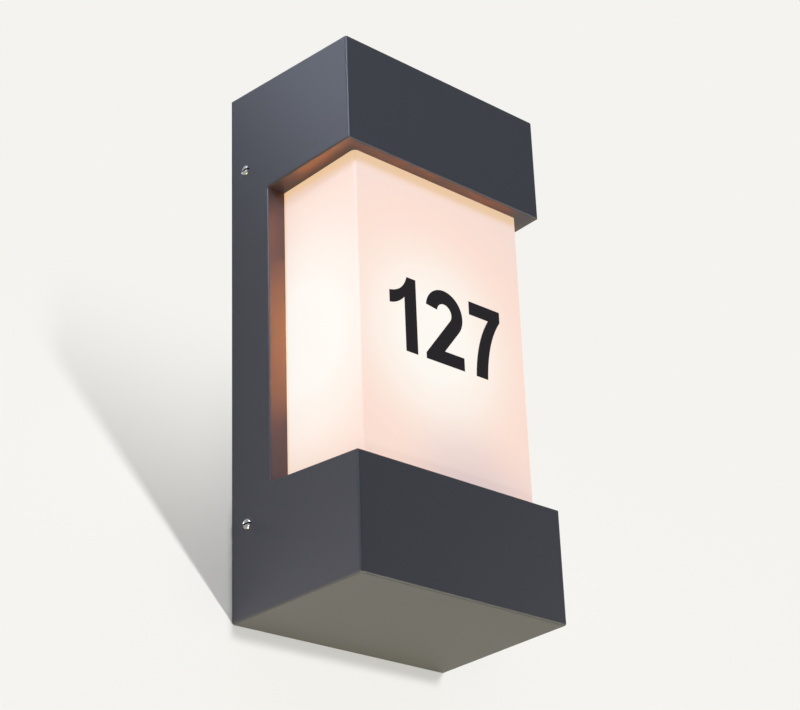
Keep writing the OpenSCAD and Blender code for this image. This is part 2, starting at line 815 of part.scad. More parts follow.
module holder_terminals() {
    bottom = terminal_bottom_z;
    color("#c9a65a") for (s = sides)
        translate([s * terminal_x, lamp_y, bottom]) difference() {
            translate([-terminal_t / 2, -terminal_w / 2, 0]) cube([terminal_t, terminal_w, terminal_h]);
            translate([0, 0, terminal_screw_z - bottom]) rotate([0, s * 90, 0])
                cylinder(r = terminal_screw_r + thread_fit, h = terminal_t);
            translate([0, 0, -past])
                cylinder(r = wire_d / 2 + wire_fit, h = terminal_wire_in + wire_fit + past);
        }
}

module holder_terminal_screws() {
    color("#c9cacb") for (s = sides)
        translate([s * (terminal_x + terminal_t / 2), lamp_y, terminal_screw_z])
            rotate([0, s * 90, 0]) headed_screw(terminal_screw_r, terminal_t / 2 - terminal_fit);
}

module holder_screws() {
    color("#c9cacb") for (s = sides)
        translate([s * holder_screw_x, lamp_y, shelf_z]) mirror([0, 0, 1])
            headed_screw(holder_screw_r, bracket_t + holder_screw_l - holder_screw_play);
}

// One pole of the terminal block: a round tower over a square foot
module pole() {
    translate([0, tube_y, 0]) linear_extrude(block_h, center = true) circle(tower_r);
    translate([0, (tube_y + block_back_y - block_d) / 2, 0])
        cube([tower_foot, tube_y - block_back_y + block_d, block_h - 2 * foot_step], center = true);
}

module terminal_block() {
    color("#e9e7df") translate([block_x, 0, block_z]) difference() {
        union() {
            forward(block_back_y, block_base_d)
                rounded(3 * pole_pitch + 2 * block_margin, block_h, block_corner_r);
            for (p = poles) translate([p * pole_pitch, 0, 0]) pole();
        }
        for (p = poles) translate([p * pole_pitch, tube_y, 0]) {
            cylinder(r = tube_r + thread_fit, h = tube_l + 2 * thread_fit, center = true);
            cylinder(r = tube_bore_r, h = 2 * block_h, center = true);
            for (s = sides) translate([0, 0, s * pole_screw_dz]) rotate([90, 0, 0])
                cylinder(r = pole_screw_r + 2 * screw_fit, h = block_d);
        }
        for (s = sides) translate([s * pole_pitch / 2, 0, 0]) rotate([90, 0, 0]) {
            cylinder(r = mount_screw_r + screw_fit, h = housing_d);
            translate([0, 0, block_base_d - block_back_y])
                cylinder(r = pan_r(mount_screw_r) + head_fit, h = housing_d);
        }
    }
}

module terminal_tubes() {
    color("#c9a65a") for (p = poles)
        translate([block_x + p * pole_pitch, tube_y, block_z]) difference() {
            cylinder(r = tube_r, h = tube_l, center = true);
            cylinder(r = tube_bore_r, h = tube_l + past, center = true);
            for (s = sides) translate([0, 0, s * pole_screw_dz]) rotate([90, 0, 0])
                cylinder(r = pole_screw_r + thread_fit, h = 2 * tube_r);
        }
}

module terminal_screws() {
    l = tube_y - tube_bore_r - (block_back_y - block_d) - pole_screw_deep;
    color("#c9cacb") for (p = poles, s = sides)
        translate([block_x + p * pole_pitch, tube_y - tube_bore_r, block_z + s * pole_screw_dz])
            rotate([90, 0, 0]) cylinder(r = pole_screw_r, h = l);
}

module terminal_mount_screws() {
    color("#c9cacb") for (s = sides)
        translate([block_x + s * pole_pitch / 2, block_back_y - block_base_d, block_z]) rotate([90, 0, 0])
            headed_screw(mount_screw_r, block_base_d + plate_t);
}

module earth_screw() {
    color("#c9cacb") translate([earth_x, plate_y - lug_t, earth_z]) rotate([90, 0, 0])
        headed_screw(earth_r, lug_t + plate_t);
}

// Ring lug under the earth screw, with its crimped barrel towards the terminal block
module earth_lug() {
    barrel = lug_barrel_l - lug_ring_r;
    color("#c8c9c6") {
        forward(plate_y, lug_t) difference() {
            union() {
                translate([earth_x, earth_z]) circle(lug_ring_r);
                translate([earth_x - lug_barrel_l / 2, earth_z])
                    square([lug_barrel_l, lug_neck_w], center = true);
            }
            translate([earth_x, earth_z]) circle(earth_r + head_fit);
        }
        translate([earth_x - lug_barrel_l, lug_barrel_y, earth_z]) difference() {
            union() {
                rotate([0, 90, 0]) cylinder(r = lug_barrel_r, h = barrel);
                translate([0, 0, -lug_barrel_r / 2])
                    cube([barrel, plate_y - lug_t / 2 - lug_barrel_y, lug_barrel_r]);
            }
            translate([-past, 0, 0]) rotate([0, 90, 0])
                cylinder(r = wire_d / 2 + wire_fit, h = barrel + 2 * past);
        }
    }
}

module earth_wire() color("#6fa23c") wire(earth_route, wire_d / 2, [0, 0.2, 1]);
module live_wire() color("#7a4a2c") wire(live_route, wire_d / 2, [1, 0, 0]);
module neutral_wire() color("#2f6fb0") wire(neutral_route, wire_d / 2, [1, 0, 0]);

// Half section of the lamp's glass, drawn in by t: a globe, a hollow blend and a throat
module glass_half(t) {
    share = (globe_r - t) / (globe_r + blend_r);
    meet_x = share * (throat_r + blend_r);
    meet_z = globe_z - share * (globe_z - blend_z);
    intersection() {
        translate([0, globe_z]) circle(globe_r - t);
        square([2 * globe_r, 2 * lamp_l]);
    }
    difference() {
        translate([0, blend_z]) square([meet_x, meet_z - blend_z]);
        translate([throat_r + blend_r, blend_z]) circle(blend_r + t);
    }
    translate([0, cap_h + t]) square([throat_r - t, meet_z - cap_h]);
    translate([0, insulator_h + glass_foot]) square([neck_r - t, cap_h - insulator_h]);
}

module lamp_glass() {
    color("#fbf6ec") translate([0, lamp_y, tip_z]) rotate_extrude($fn = 96) difference() {
        glass_half(0);
        glass_half(glass_t);
        square([neck_r - glass_t, cap_h + past]);
    }
}

module lamp_cap() {
    r = cap_d / 2;
    inside = r - cap_wall - cap_groove;
    color("#cfcfca") translate([0, lamp_y, tip_z]) rotate_extrude() difference() {
        polygon([
            [cap_hole_r, insulator_h - cap_dish], [r - cap_chamfer, insulator_h],
            [r, insulator_h + cap_chamfer], [r, cap_h - 2 * skirt_h],
            [skirt_r, cap_h - skirt_h], [skirt_r, cap_h], [0, cap_h], [0, insulator_h]
        ]);
        translate([0, insulator_h + 2 * cap_groove]) square([inside, cap_h]);
        translate([0, insulator_h + glass_foot]) square([neck_r + thread_fit, cap_h]);
        square([collar_r + head_fit, cap_h]);
    }
}

// Black glass between cap and contact, poured into the end of the cap
module lamp_insulator() {
    color("#1d1c1b") translate([0, lamp_y, tip_z]) rotate_extrude() polygon([
        [contact_r + turn_gap, contact_h - contact_crown + head_fit],
        [collar_r - collar_step, insulator_h - cap_dish - screw_fit],
        [collar_r, insulator_h - cap_dish + screw_fit], [collar_r, insulator_h + collar_h],
        [stem_r + head_fit, insulator_h + collar_h], [stem_r + head_fit, contact_h + turn_gap],
        [contact_r + turn_gap, contact_h + turn_gap]
    ]);
}

module lamp_contact() {
    color("#b7b6b0") translate([0, lamp_y, tip_z]) rotate_extrude() {
        square([contact_r - contact_crown, contact_h]);
        translate([0, contact_crown]) square([contact_r, contact_h - contact_crown]);
        intersection() {
            translate([contact_r - contact_crown, contact_crown]) circle(contact_crown);
            square([contact_r, contact_h]);
        }
        square([stem_r, insulator_h]);
    }
}

housing();
diffuser();
seal_left();
seal_right();
seal_upper();
seal_lower();
clip_upper_left();
clip_upper_right();
clip_lower_left();
clip_lower_right();
clip_screws();
side_screws();
wall_gasket();
wall_plate();
cable_grommet();
holder_bracket();
bracket_screws();
lampholder_body();
screw_shell();
centre_contact();
holder_terminals();
holder_terminal_screws();
holder_screws();
terminal_block();
terminal_tubes();
terminal_screws();
terminal_mount_screws();
earth_screw();
earth_lug();
earth_wire();
live_wire();
neutral_wire();
lamp_glass();
lamp_cap();
lamp_insulator();
lamp_contact();
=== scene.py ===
"""Looks of an outdoor wall light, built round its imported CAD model.

The wall is the plane y = 0, the light stands out towards -Y and Z is up, in metres.
"""
import json
import math

import bmesh
import bpy
from bpy.props import FloatProperty, FloatVectorProperty, PointerProperty
from mathutils import Matrix, Vector

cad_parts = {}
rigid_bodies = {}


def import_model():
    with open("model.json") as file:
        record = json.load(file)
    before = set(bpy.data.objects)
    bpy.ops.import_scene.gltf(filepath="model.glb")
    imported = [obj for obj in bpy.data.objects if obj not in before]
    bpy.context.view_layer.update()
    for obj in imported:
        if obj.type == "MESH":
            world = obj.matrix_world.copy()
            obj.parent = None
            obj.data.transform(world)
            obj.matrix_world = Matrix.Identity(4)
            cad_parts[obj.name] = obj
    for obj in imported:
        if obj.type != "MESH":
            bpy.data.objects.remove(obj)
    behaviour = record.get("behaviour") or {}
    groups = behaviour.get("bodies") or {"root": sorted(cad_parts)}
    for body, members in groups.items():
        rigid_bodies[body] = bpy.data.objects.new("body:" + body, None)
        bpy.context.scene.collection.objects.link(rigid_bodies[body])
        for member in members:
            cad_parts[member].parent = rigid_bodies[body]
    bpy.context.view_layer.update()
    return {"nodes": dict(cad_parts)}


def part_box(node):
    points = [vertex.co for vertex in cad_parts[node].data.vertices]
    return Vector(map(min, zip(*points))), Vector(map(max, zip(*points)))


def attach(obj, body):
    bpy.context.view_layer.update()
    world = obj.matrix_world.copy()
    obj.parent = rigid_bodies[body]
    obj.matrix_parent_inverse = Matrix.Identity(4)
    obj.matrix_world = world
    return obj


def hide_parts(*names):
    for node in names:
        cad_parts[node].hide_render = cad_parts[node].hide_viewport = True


bl_info = {
    "name": "Outdoor Wall Light",
    "version": (1, 0, 0),
    "blender": (4, 5, 0),
    "location": "View3D > Sidebar > Wall Light",
    "description": "Dresses the packed model of an outdoor wall light and sets its stage",
    "category": "Object",
}

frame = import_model()

MM = 0.001
# Two places that are closer than this are taken as one.
CLOSE = 1e-7
# Turns a shape that is drawn flat, facing up, so that it faces the front.
FRONT = Matrix.Rotation(math.radians(90), 4, "X")
NO_TURN = Matrix.Identity(4)
FACE_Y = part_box("diffuser")[0].y
GLASS_LOW, GLASS_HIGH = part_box("lamp_glass")
GLOBE_R = (GLASS_HIGH.x - GLASS_LOW.x) / 2
LAMP_Y = (GLASS_LOW.y + GLASS_HIGH.y) / 2
LAMP_AXIS = Matrix.Translation((0, LAMP_Y, 0))
GLOBE = Vector((0, LAMP_Y, GLASS_HIGH.z - GLOBE_R))
CAP_R = 13.1 * MM
# The opening ends this far above and below the middle, the diffuser's sides stand this far
# out, and the front of the housing's spine lies here.
OPENING_TOP = 70 * MM
SHEET_HALF = 51.5 * MM
SPINE_FRONT = -25.3 * MM
# The wall stands just behind the gasket's back, and the shadow shows on it between two heights.
WALL, FLOOR, BOARD_HALF = (0, 0.1 * MM, 0), (0, 0, -1.2), 6
SHADOW_LOW, SHADOW_HIGH = -0.6, 0.02
# The middle of the painted glow on the diffuser, and of the painted shade that the lampholder
# throws on it.
GLOW = GLOBE + Vector((-6, -1, -10)) * MM
HOLDER_SHADE = Vector((12 * MM, FACE_Y, -86 * MM))


def linear(code):
    """Turns an sRGB hex colour into linear values with an alpha of 1."""
    parts = [int(code[i:i + 2], 16) / 255 for i in (1, 3, 5)]
    return [p / 12.92 if p <= 0.04045 else ((p + 0.055) / 1.055) ** 2.4 for p in parts] + [1]


BLACK, WHITE = linear("#000000"), linear("#ffffff")


def colour(name, text, code):
    """A colour that the user can change."""
    return FloatVectorProperty(
        name=name, description=text, default=linear(code), size=4, subtype="COLOR", min=0, max=1)


def length(name, text, value, least=0):
    """A length in metres that the user can change."""
    return FloatProperty(
        name=name, description=text, default=value, min=least, unit="LENGTH", precision=5)


def strength(name, text, value):
    """A light's strength that the user can change."""
    return FloatProperty(name=name, description=text, default=value, min=0)


def watts(name, text, value):
    """A light's power that the user can change."""
    return FloatProperty(name=name, description=text, default=value, min=0, unit="POWER")


def turned(name, text, degrees):
    """An angle that the user can change."""
    return FloatProperty(
        name=name, description=text, default=math.radians(degrees), unit="ROTATION")


class WallLightFinish(bpy.types.PropertyGroup):
    """Colours and glow of the pieces."""
    coat: colour("Powder coat", "Colour of the coated casting", "#353639")
    sheet: colour("Opal sheet", "Colour of the diffuser's sheet while the lamp is off", "#6f6d69")
    sheet_glow: strength("Sheet glow", "Strength of the light from the diffuser", 0.845)
    lamp_glow: strength("Lamp glow", "Strength of the light from the lamp's glass", 0.8)
    # Painted shade: the dark colour painted deep in the slots of the side screws.
    painted_slot_shade: colour("Grease", "Colour of the grease in the slots of the side screws", "#141312")
    # The diffuser's painted glow: its colours from the lamp outwards, and the painted warm tints
    # under the hood and along the spine.
    glow_near: colour("Glow near the lamp", "Colour of the sheet nearest to the lamp", "#fffaf0")
    glow_mid: colour("Glow beside the lamp", "Colour of the sheet beside the lamp", "#ffefe1")
    glow_far: colour("Glow far from the lamp", "Colour of the sheet far from the lamp", "#fddbc9")
    glow_end: colour("Glow at the ends", "Colour of the sheet at its dim ends", "#f5d8cb")
    glow_top: colour("Glow under the hood", "Tint of the sheet along the hood", "#fcf2cf")
    glow_under: colour("Glow below that", "Tint of the sheet a little below the hood", "#fefaee")
    glow_edge: colour("Glow at the wall", "Tint of the sheet along the housing's spine", "#fff3dc")
    # Painted shade: the tint of the lampholder's shadow painted on the sheet.
    holder_shade: colour("Holder's shade", "Tint of the sheet before the lampholder", "#e2e9f9")
    figures: colour("Figures", "Colour of the house number", "#1c1614")
    zinc: colour("Zinc", "Colour of the zinc-plated sheet", "#b4b8bb")
    screw: colour("Screws", "Colour of the small screws", "#b9bcbf")
    stainless: colour("Side screws", "Colour of the turned side screws", "#cfcfce")
    seal: colour("Seals", "Colour of the silicone seals", "#cfcfc8")
    foam: colour("Gasket", "Colour of the foam gasket", "#1f2022")
    rubber: colour("Cable inlet", "Colour of the rubber cable inlet", "#232426")
    porcelain: colour("Porcelain", "Colour of the glazed lampholder", "#ece9e0")
    brass: colour("Brass", "Colour of the contacts and terminals", "#c39a4e")
    block: colour("Terminal block", "Colour of the moulded block", "#e2dfd4")
    live: colour("Live wire", "Colour of the live wire's sleeve", "#5c3420")
    neutral: colour("Neutral wire", "Colour of the neutral wire's sleeve", "#1f57a0")
    earth: colour("Earth wire", "First colour of the earth wire's sleeve", "#3f8a2c")
    earth_stripe: colour("Earth wire stripe", "Second colour of the earth wire's sleeve", "#d8c021")
    lamp: colour("Lamp", "Colour of the lamp's opal glass", "#fff1dc")
    lamp_neck: colour("Lamp's neck", "Colour of the lamp's glass at its neck", "#f6d7b4")
    lamp_foot: colour("Lamp's foot", "Colour of the lamp's glass at its dim foot", "#d99a6a")
    lamp_off: colour("Opal glass", "Colour of the lamp's glass while it is off", "#8f8a80")
    cap: colour("Lamp cap", "Colour of the lamp's nickel-plated cap", "#c4c3bd")
    cap_glass: colour("Cap glass", "Colour of the black glass in the lamp's cap", "#161514")
    solder: colour("Solder", "Colour of the solder under the lamp's cap", "#a9a8a2")
    tin: colour("Earth lug", "Colour of the tinned earth lug", "#b9b8b2")


class WallLightSizes(bpy.types.PropertyGroup):
    """Sizes of what is made here."""
    figure_h: length("Figure height", "Height of the figures", 36.5 * MM)
    figure_t: length("Figure thickness", "Thickness of the cut film", 0.15 * MM)
    figure_x: length("Figure place", "Middle of the figures, sideways", 0.5 * MM, -0.1)
    figure_z: length("Figure foot", "Height of the figures' foot", -17.3 * MM, -0.1)
    thread_pitch: length("Thread pitch", "Pitch of the lamp's thread", 3.629 * MM)
    thread_deep: length("Thread depth", "Depth of the lamp's thread", 0.95 * MM)
    thread_play: length("Thread play", "Space between cap and shell", 0.2 * MM)
    recess_deep: length("Recess depth", "Depth of the cross recess in a screw", 0.9 * MM)
    wire_r: length("Wire radius", "Radius of a wire over its sleeve", 1.3 * MM)
    grain: length("Coat grain", "Width of the powder coat's grain", 0.55 * MM)


class WallLightStage(bpy.types.PropertyGroup):
    """Camera, lights and backdrop."""
    backdrop: colour("Backdrop", "Colour of wall, floor and background", "#f4f3ef")
    sky: strength("Sky", "Strength of the light from all round", 0.2)
    key: strength("Key light", "Strength of the sun from the lower right", 2.98)
    key_share: strength("Key share", "Share of that sun which falls on the wall light", 0.46)
    fill: strength("Fill light", "Strength of the sun on the wall", 1.06)
    bounce: strength("Bounce light", "Strength of the sun from below", 3.5)
    back: strength("Back light", "Strength of the light from behind", 1.2)
    side: watts("Side light", "Power of the light beside the hood", 0.135)
    edge: watts("Edge light", "Power of the light that draws the front edge", 3.0)
    low: watts("Low light", "Power of the light beside the base", 0.3)
    high: watts("High light", "Power of the light on the hood's front", 0.12)
    right: watts("Right light", "Power of the light on the base's front", 0.47)
    spill: strength("Lamp spill", "Strength of the lamp's light on the housing", 1)
    aim: FloatVectorProperty(
        name="Aim", description="Point that the camera looks at", subtype="XYZ", unit="LENGTH",
        default=(18.53 * MM, -24.57 * MM, 10.79 * MM))
    distance: length("Camera distance", "From the aim to the camera", 970.44 * MM)
    azimuth: turned("Camera azimuth", "Camera's place round Z, from the front", -43.628)
    elevation: turned("Camera elevation", "Camera's height, as an angle", -24.868)
    roll: turned("Camera roll", "Camera's turn round its own axis", -2.207)
    lens: FloatProperty(
        name="Lens", description="Focal length on a 36 mm sensor", default=92.92, min=1)


def settings(context):
    """The colours and the sizes that the user can change."""
    return context.scene.wall_light_finish, context.scene.wall_light_sizes


def add(material, kind, inputs=None, stops=None, **options):
    """Adds one node. An input takes a value, or another node's output as its link."""
    tree = material.node_tree
    node = tree.nodes.new("ShaderNode" + kind)
    for key, value in options.items():
        setattr(node, key, value)
    for key, value in (inputs or {}).items():
        if isinstance(value, bpy.types.NodeSocket):
            tree.links.new(value, node.inputs[key])
        else:
            node.inputs[key].default_value = value
    if stops:
        elements = node.color_ramp.elements
        while len(elements) < len(stops):
            elements.new(1)
        for element, (place, shade) in zip(elements, stops):
            element.position = place
            element.color = shade
    return node


def calc(material, kind, operation, *values):
    """Adds a node that calculates, and gives its first output."""
    return add(material, kind, dict(enumerate(values)), operation=operation).outputs[0]


def shader(name, **inputs):
    """A material with its surface shader. Input names have _ for spaces."""
    material = bpy.data.materials.new(name)
    material.use_nodes = True
    surface = material.node_tree.nodes["Principled BSDF"]
    for key, value in inputs.items():
        surface.inputs[key.replace("_", " ")].default_value = value
    return material, surface


def plug(material, surface, **links):
    """Links outputs of nodes to the shader's inputs. Input names have _ for spaces."""
    for key, socket in links.items():
        material.node_tree.links.new(socket, surface.inputs[key.replace("_", " ")])


def grain(material, surface, base, size, spread, depth, rough=None, stretch=(1, 1, 1)):
    """Lays an irregular grain over a finish: colour between two shades, bump and roughness."""
    place = add(material, "TexCoord")
    fitted = add(material, "Mapping", {"Vector": place.outputs["Object"], "Scale": stretch})
    noise = add(material, "TexNoise", {
        "Vector": fitted.outputs["Vector"], "Scale": 1 / size, "Detail": 3.0, "Roughness": 0.55})
    dark = [c * (1 - spread) for c in base[:3]] + [1]
    light = [min(1, c * (1 + spread)) for c in base[:3]] + [1]
    shades = add(material, "ValToRGB", {"Fac": noise.outputs["Fac"]}, stops=[
        (0.3, dark), (0.7, light)])
    bump = add(material, "Bump", {
        "Height": noise.outputs["Fac"], "Strength": 1.0, "Distance": depth})
    plug(material, surface, Base_Color=shades.outputs["Color"], Normal=bump.outputs["Normal"])
    if rough:
        spread_rough = add(material, "MapRange", {
            "Value": noise.outputs["Fac"], "To Min": rough[0], "To Max": rough[1]})
        plug(material, surface, Roughness=spread_rough.outputs["Result"])


def dress(names, material):
    """Gives CAD nodes a finish."""
    for name in names:
        node = frame["nodes"][name]
        node.data.materials.clear()
        node.data.materials.append(material)


def piece(name, mesh, material, body, replaces=(), smooth=30):
    """Puts a finished mesh into the scene as a piece that rides on a body."""
    if isinstance(mesh, bmesh.types.BMesh):
        data = bpy.data.meshes.new(name)
        bmesh.ops.remove_doubles(mesh, verts=mesh.verts, dist=0.001 * MM)
        bmesh.ops.recalc_face_normals(mesh, faces=mesh.faces)
        mesh.to_mesh(data)
        mesh.free()
    else:
        data = mesh
    if not data.polygons:
        raise RuntimeError(f"{name} has no faces")
    data.materials.clear()
    data.materials.append(material)
    data.shade_smooth()
    data.set_sharp_from_angle(angle=math.radians(smooth))
    thing = bpy.data.objects.new(name, data)
    bpy.context.scene.collection.objects.link(thing)
    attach(thing, body)
    if replaces:
        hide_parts(*replaces)


def lathe(bm, profile, steps, place=NO_TURN):
    """Spins a profile of (radius, height) points round Z and puts the form in its place."""
    verts = [bm.verts.new((r, 0, z)) for r, z in profile]
    edges = [bm.edges.new(pair) for pair in zip(verts, verts[1:])]
    before = set(bm.verts) - set(verts)
    bmesh.ops.spin(
        bm, geom=verts + edges, cent=(0, 0, 0), axis=(0, 0, 1), angle=math.tau, steps=steps,
        use_merge=True)
    formed = [v for v in bm.verts if v not in before]
    bmesh.ops.transform(bm, matrix=place, verts=formed)
    return formed


def arc(cx, cz, radius, start, end, steps):
    """Points of an arc in a profile, by angles in degrees."""
    turns = [math.radians(start + (end - start) * i / steps) for i in range(steps + 1)]
    return [(cx + radius * math.cos(t), cz + radius * math.sin(t)) for t in turns]


def cross_screw(bm, r, under, place, deep):
    """A pan-head screw along Z with a cross recess; the head stands on z = 0."""
    head_r, head_h = 1.75 * r, 1.2 * r
    crown = head_h / 2
    flat_r = head_r - crown
    formed = lathe(bm, [
        (0, -under), (r * 0.8, -under), (r, -under + 0.2 * r), (r, 0), (head_r, 0),
        (head_r, head_h - crown), *arc(flat_r, head_h - crown, crown, 0, 90, 6)[1:],
    ], 36)
    rim = {v for v in formed if abs(v.co.z - head_h) < CLOSE}
    wing, half = 0.82 * r, 0.2 * r
    corners = []
    for quarter in range(4):
        turn = Matrix.Rotation(math.radians(90 * quarter), 3, "Z")
        for x, y in ((wing, -half), (wing, half), (half, half)):
            corners.append(bm.verts.new(turn @ Vector((x, y, head_h))))
    cross = [bm.edges.new((corners[i], corners[(i + 1) % 12])) for i in range(12)]
    ring = [e for e in bm.edges if e.verts[0] in rim and e.verts[1] in rim]
    bmesh.ops.bridge_loops(bm, edges=ring + cross)
    sunk = bmesh.ops.extrude_edge_only(bm, edges=cross)["geom"]
    floor = [g for g in sunk if isinstance(g, bmesh.types.BMVert)]
    bmesh.ops.scale(bm, vec=(0.55, 0.55, 1), verts=floor)
    bmesh.ops.translate(bm, vec=(0, 0, -deep), verts=floor)
    bottom = [g for g in sunk if isinstance(g, bmesh.types.BMEdge)]
    bmesh.ops.edgeloop_fill(bm, edges=bottom)
    bmesh.ops.transform(bm, matrix=place, verts=formed + corners + floor)


class WALLLIGHT_OT_housing(bpy.types.Operator):
    """Coats the housing"""
    bl_idname = "wall_light.housing"
    bl_label = "Housing"

    def execute(self, context):
        finish, sizes = settings(context)
        # Polyester powder coat on die-cast aluminium, sprayed and baked: a fine even grain
        # breaks up the reflections, so that flat faces look soft and edges catch a thin line.
        material, surface = shader(
            "powder_coat_on_die_cast_aluminium", Roughness=0.42, IOR=1.5, Specular_IOR_Level=0.5)
        grain(material, surface, finish.coat, sizes.grain, 0.1, 0.02 * MM, rough=(0.38, 0.5))
        dress(["housing"], material)
        return {"FINISHED"}


class WALLLIGHT_OT_diffuser(bpy.types.Operator):
    """Gives the opal diffuser the painted glow of the lamp inside"""
    bl_idname = "wall_light.diffuser"
    bl_label = "Diffuser"

    def execute(self, context):
        finish = context.scene.wall_light_finish
        # Opal acrylic sheet, extruded and bent hot, with a lamp behind it. The lamp's light through
        # the sheet is painted into its emission colour: the painted glow fades over each face with
        # the third power of the cosine and turns warmer where the sheet goes in under the hood and
        # at the spine, and a painted shade of the lampholder darkens its lower end. Satin, with a
        # fine bump.
        material, surface = shader(
            "opal_acrylic_sheet_lit", Base_Color=finish.sheet, Roughness=0.5, IOR=1.49,
            Emission_Strength=finish.sheet_glow)
        place = add(material, "TexCoord").outputs
        away = calc(material, "VectorMath", "SUBTRACT", place["Object"], GLOW)
        unit = calc(material, "VectorMath", "NORMALIZE", away)
        size = calc(material, "VectorMath", "ABSOLUTE", unit)
        square = calc(material, "VectorMath", "MULTIPLY", size, size)
        cube = calc(material, "VectorMath", "MULTIPLY", square, size)
        facing = calc(material, "VectorMath", "MULTIPLY", place["Normal"], place["Normal"])
        fall = add(material, "VectorMath", {0: cube, 1: facing}, operation="DOT_PRODUCT")
        # Painted glow: brightest on the faces nearest the lamp.
        shade = add(material, "ValToRGB", {"Fac": fall.outputs["Value"]}, stops=[
            (0.04, finish.glow_end), (0.12, finish.glow_far),
            (0.36, finish.glow_mid), (0.7, finish.glow_near)])
        sides = add(material, "SeparateXYZ", {0: place["Object"]})
        # Painted warm light along the hood, where the sheet goes in under it.
        up = add(material, "MapRange", {
            "Value": sides.outputs["Z"], "From Min": -OPENING_TOP,
            "From Max": OPENING_TOP + 1 * MM})
        ends = add(material, "ValToRGB", {"Fac": up.outputs[0]}, stops=[
            (0.966, WHITE), (0.984, finish.glow_under), (0.998, finish.glow_top)])
        # Painted warm light along the housing's spine.
        back = add(material, "MapRange", {
            "Value": sides.outputs["Y"], "From Min": SPINE_FRONT - 2 * MM, "From Max": SPINE_FRONT})
        edge = add(material, "ValToRGB", {"Fac": back.outputs[0]}, stops=[
            (0.4, WHITE), (1.0, finish.glow_edge)])
        # Painted shade of the lampholder: the sheet darkens towards a point before the holder.
        near = add(material, "VectorMath", {
            0: place["Object"], 1: HOLDER_SHADE}, operation="DISTANCE")
        dim = add(material, "MapRange", {
            "Value": near.outputs["Value"], "From Min": 8 * MM, "From Max": 54 * MM,
            "To Min": 1.0, "To Max": 0.0}, interpolation_type="SMOOTHSTEP")
        holder = add(material, "Mix", {
            0: dim.outputs[0], 6: WHITE, 7: finish.holder_shade}, data_type="RGBA")
        tone = shade.outputs["Color"]
        for tint in (ends.outputs["Color"], edge.outputs["Color"], holder.outputs[2]):
            tone = add(material, "Mix", {
                0: 1.0, 6: tone, 7: tint}, data_type="RGBA", blend_type="MULTIPLY").outputs[2]
        satin = add(material, "TexNoise", {
            "Vector": place["Object"], "Scale": 1 / (0.8 * MM), "Detail": 2.0})
        bump = add(material, "Bump", {
            "Height": satin.outputs["Fac"], "Strength": 1.0, "Distance": 0.004 * MM})
        plug(material, surface, Emission_Color=tone, Normal=bump.outputs["Normal"])
        dress(["diffuser"], material)
        return {"FINISHED"}


def bend(start, pull, end, steps=10):
    """Points of a curve from start to end that is pulled towards a third point."""
    shares = [i / steps for i in range(steps + 1)]
    corners = list(zip(start, pull, end))
    return [
        tuple((1 - t) ** 2 * a + 2 * t * (1 - t) * b + t * t * c for a, b, c in corners)
        for t in shares]


# The outlines of three plain figures, drawn in millimetres at this height, with their foot at 0.
FIGURE_TALL = 36.5
FIGURES = (
    [(-17.6, 36.5), (-17.6, 0), (-24.6, 0), *bend((-24.6, 26.3), (-28.4, 21.9), (-33.6, 21.2)),
     *bend((-33.6, 27.2), (-25.2, 28.6), (-22.9, 36.5))],
    [*arc(-0.3, 25.4, 11.3, 172, -38, 30), (-1.0, 6.4), (11.0, 6.4), (11.0, 0), (-12.4, 0),
     (-12.4, 2.9), *arc(-0.3, 25.4, 4.5, -38, 172, 24)],
    [(15.6, 36.5), (35.2, 36.5), (35.2, 31.2), *bend((35.2, 31.2), (26.6, 19.5), (25.6, 0))[1:],
     *bend((18.4, 0), (19.4, 17.5), (27.6, 29.9)), (15.6, 29.9)],
)


class WALLLIGHT_OT_figures(bpy.types.Operator):
    """Cuts the house number from film and sticks it on the diffuser"""
    bl_idname = "wall_light.figures"
    bl_label = "House number"

    def execute(self, context):
        finish, sizes = settings(context)
        scale = sizes.figure_h / FIGURE_TALL
        bm = bmesh.new()
        for outline in FIGURES:
            corners = [bm.verts.new((x, z, 0)) for x, z in outline]
            film = bmesh.ops.extrude_face_region(bm, geom=[bm.faces.new(corners)])["geom"]
            raised = [g for g in film if isinstance(g, bmesh.types.BMVert)]
            bmesh.ops.translate(bm, vec=(0, 0, sizes.figure_t / scale), verts=raised)
        bmesh.ops.scale(bm, vec=(scale, scale, scale), verts=bm.verts)
        onto = Matrix.Translation((sizes.figure_x, FACE_Y, sizes.figure_z)) @ FRONT
        bmesh.ops.transform(bm, matrix=onto, verts=bm.verts)
        # Cast vinyl film, cut on a plotter: satin black, with the faint ripple of film that was
        # laid by hand.
        material, surface = shader("cast_vinyl_film_black", Roughness=0.5, Specular_IOR_Level=0.3)
        grain(material, surface, finish.figures, 4 * MM, 0.08, 0.01 * MM)
        piece("house_number", bm, material, "cover")
        return {"FINISHED"}


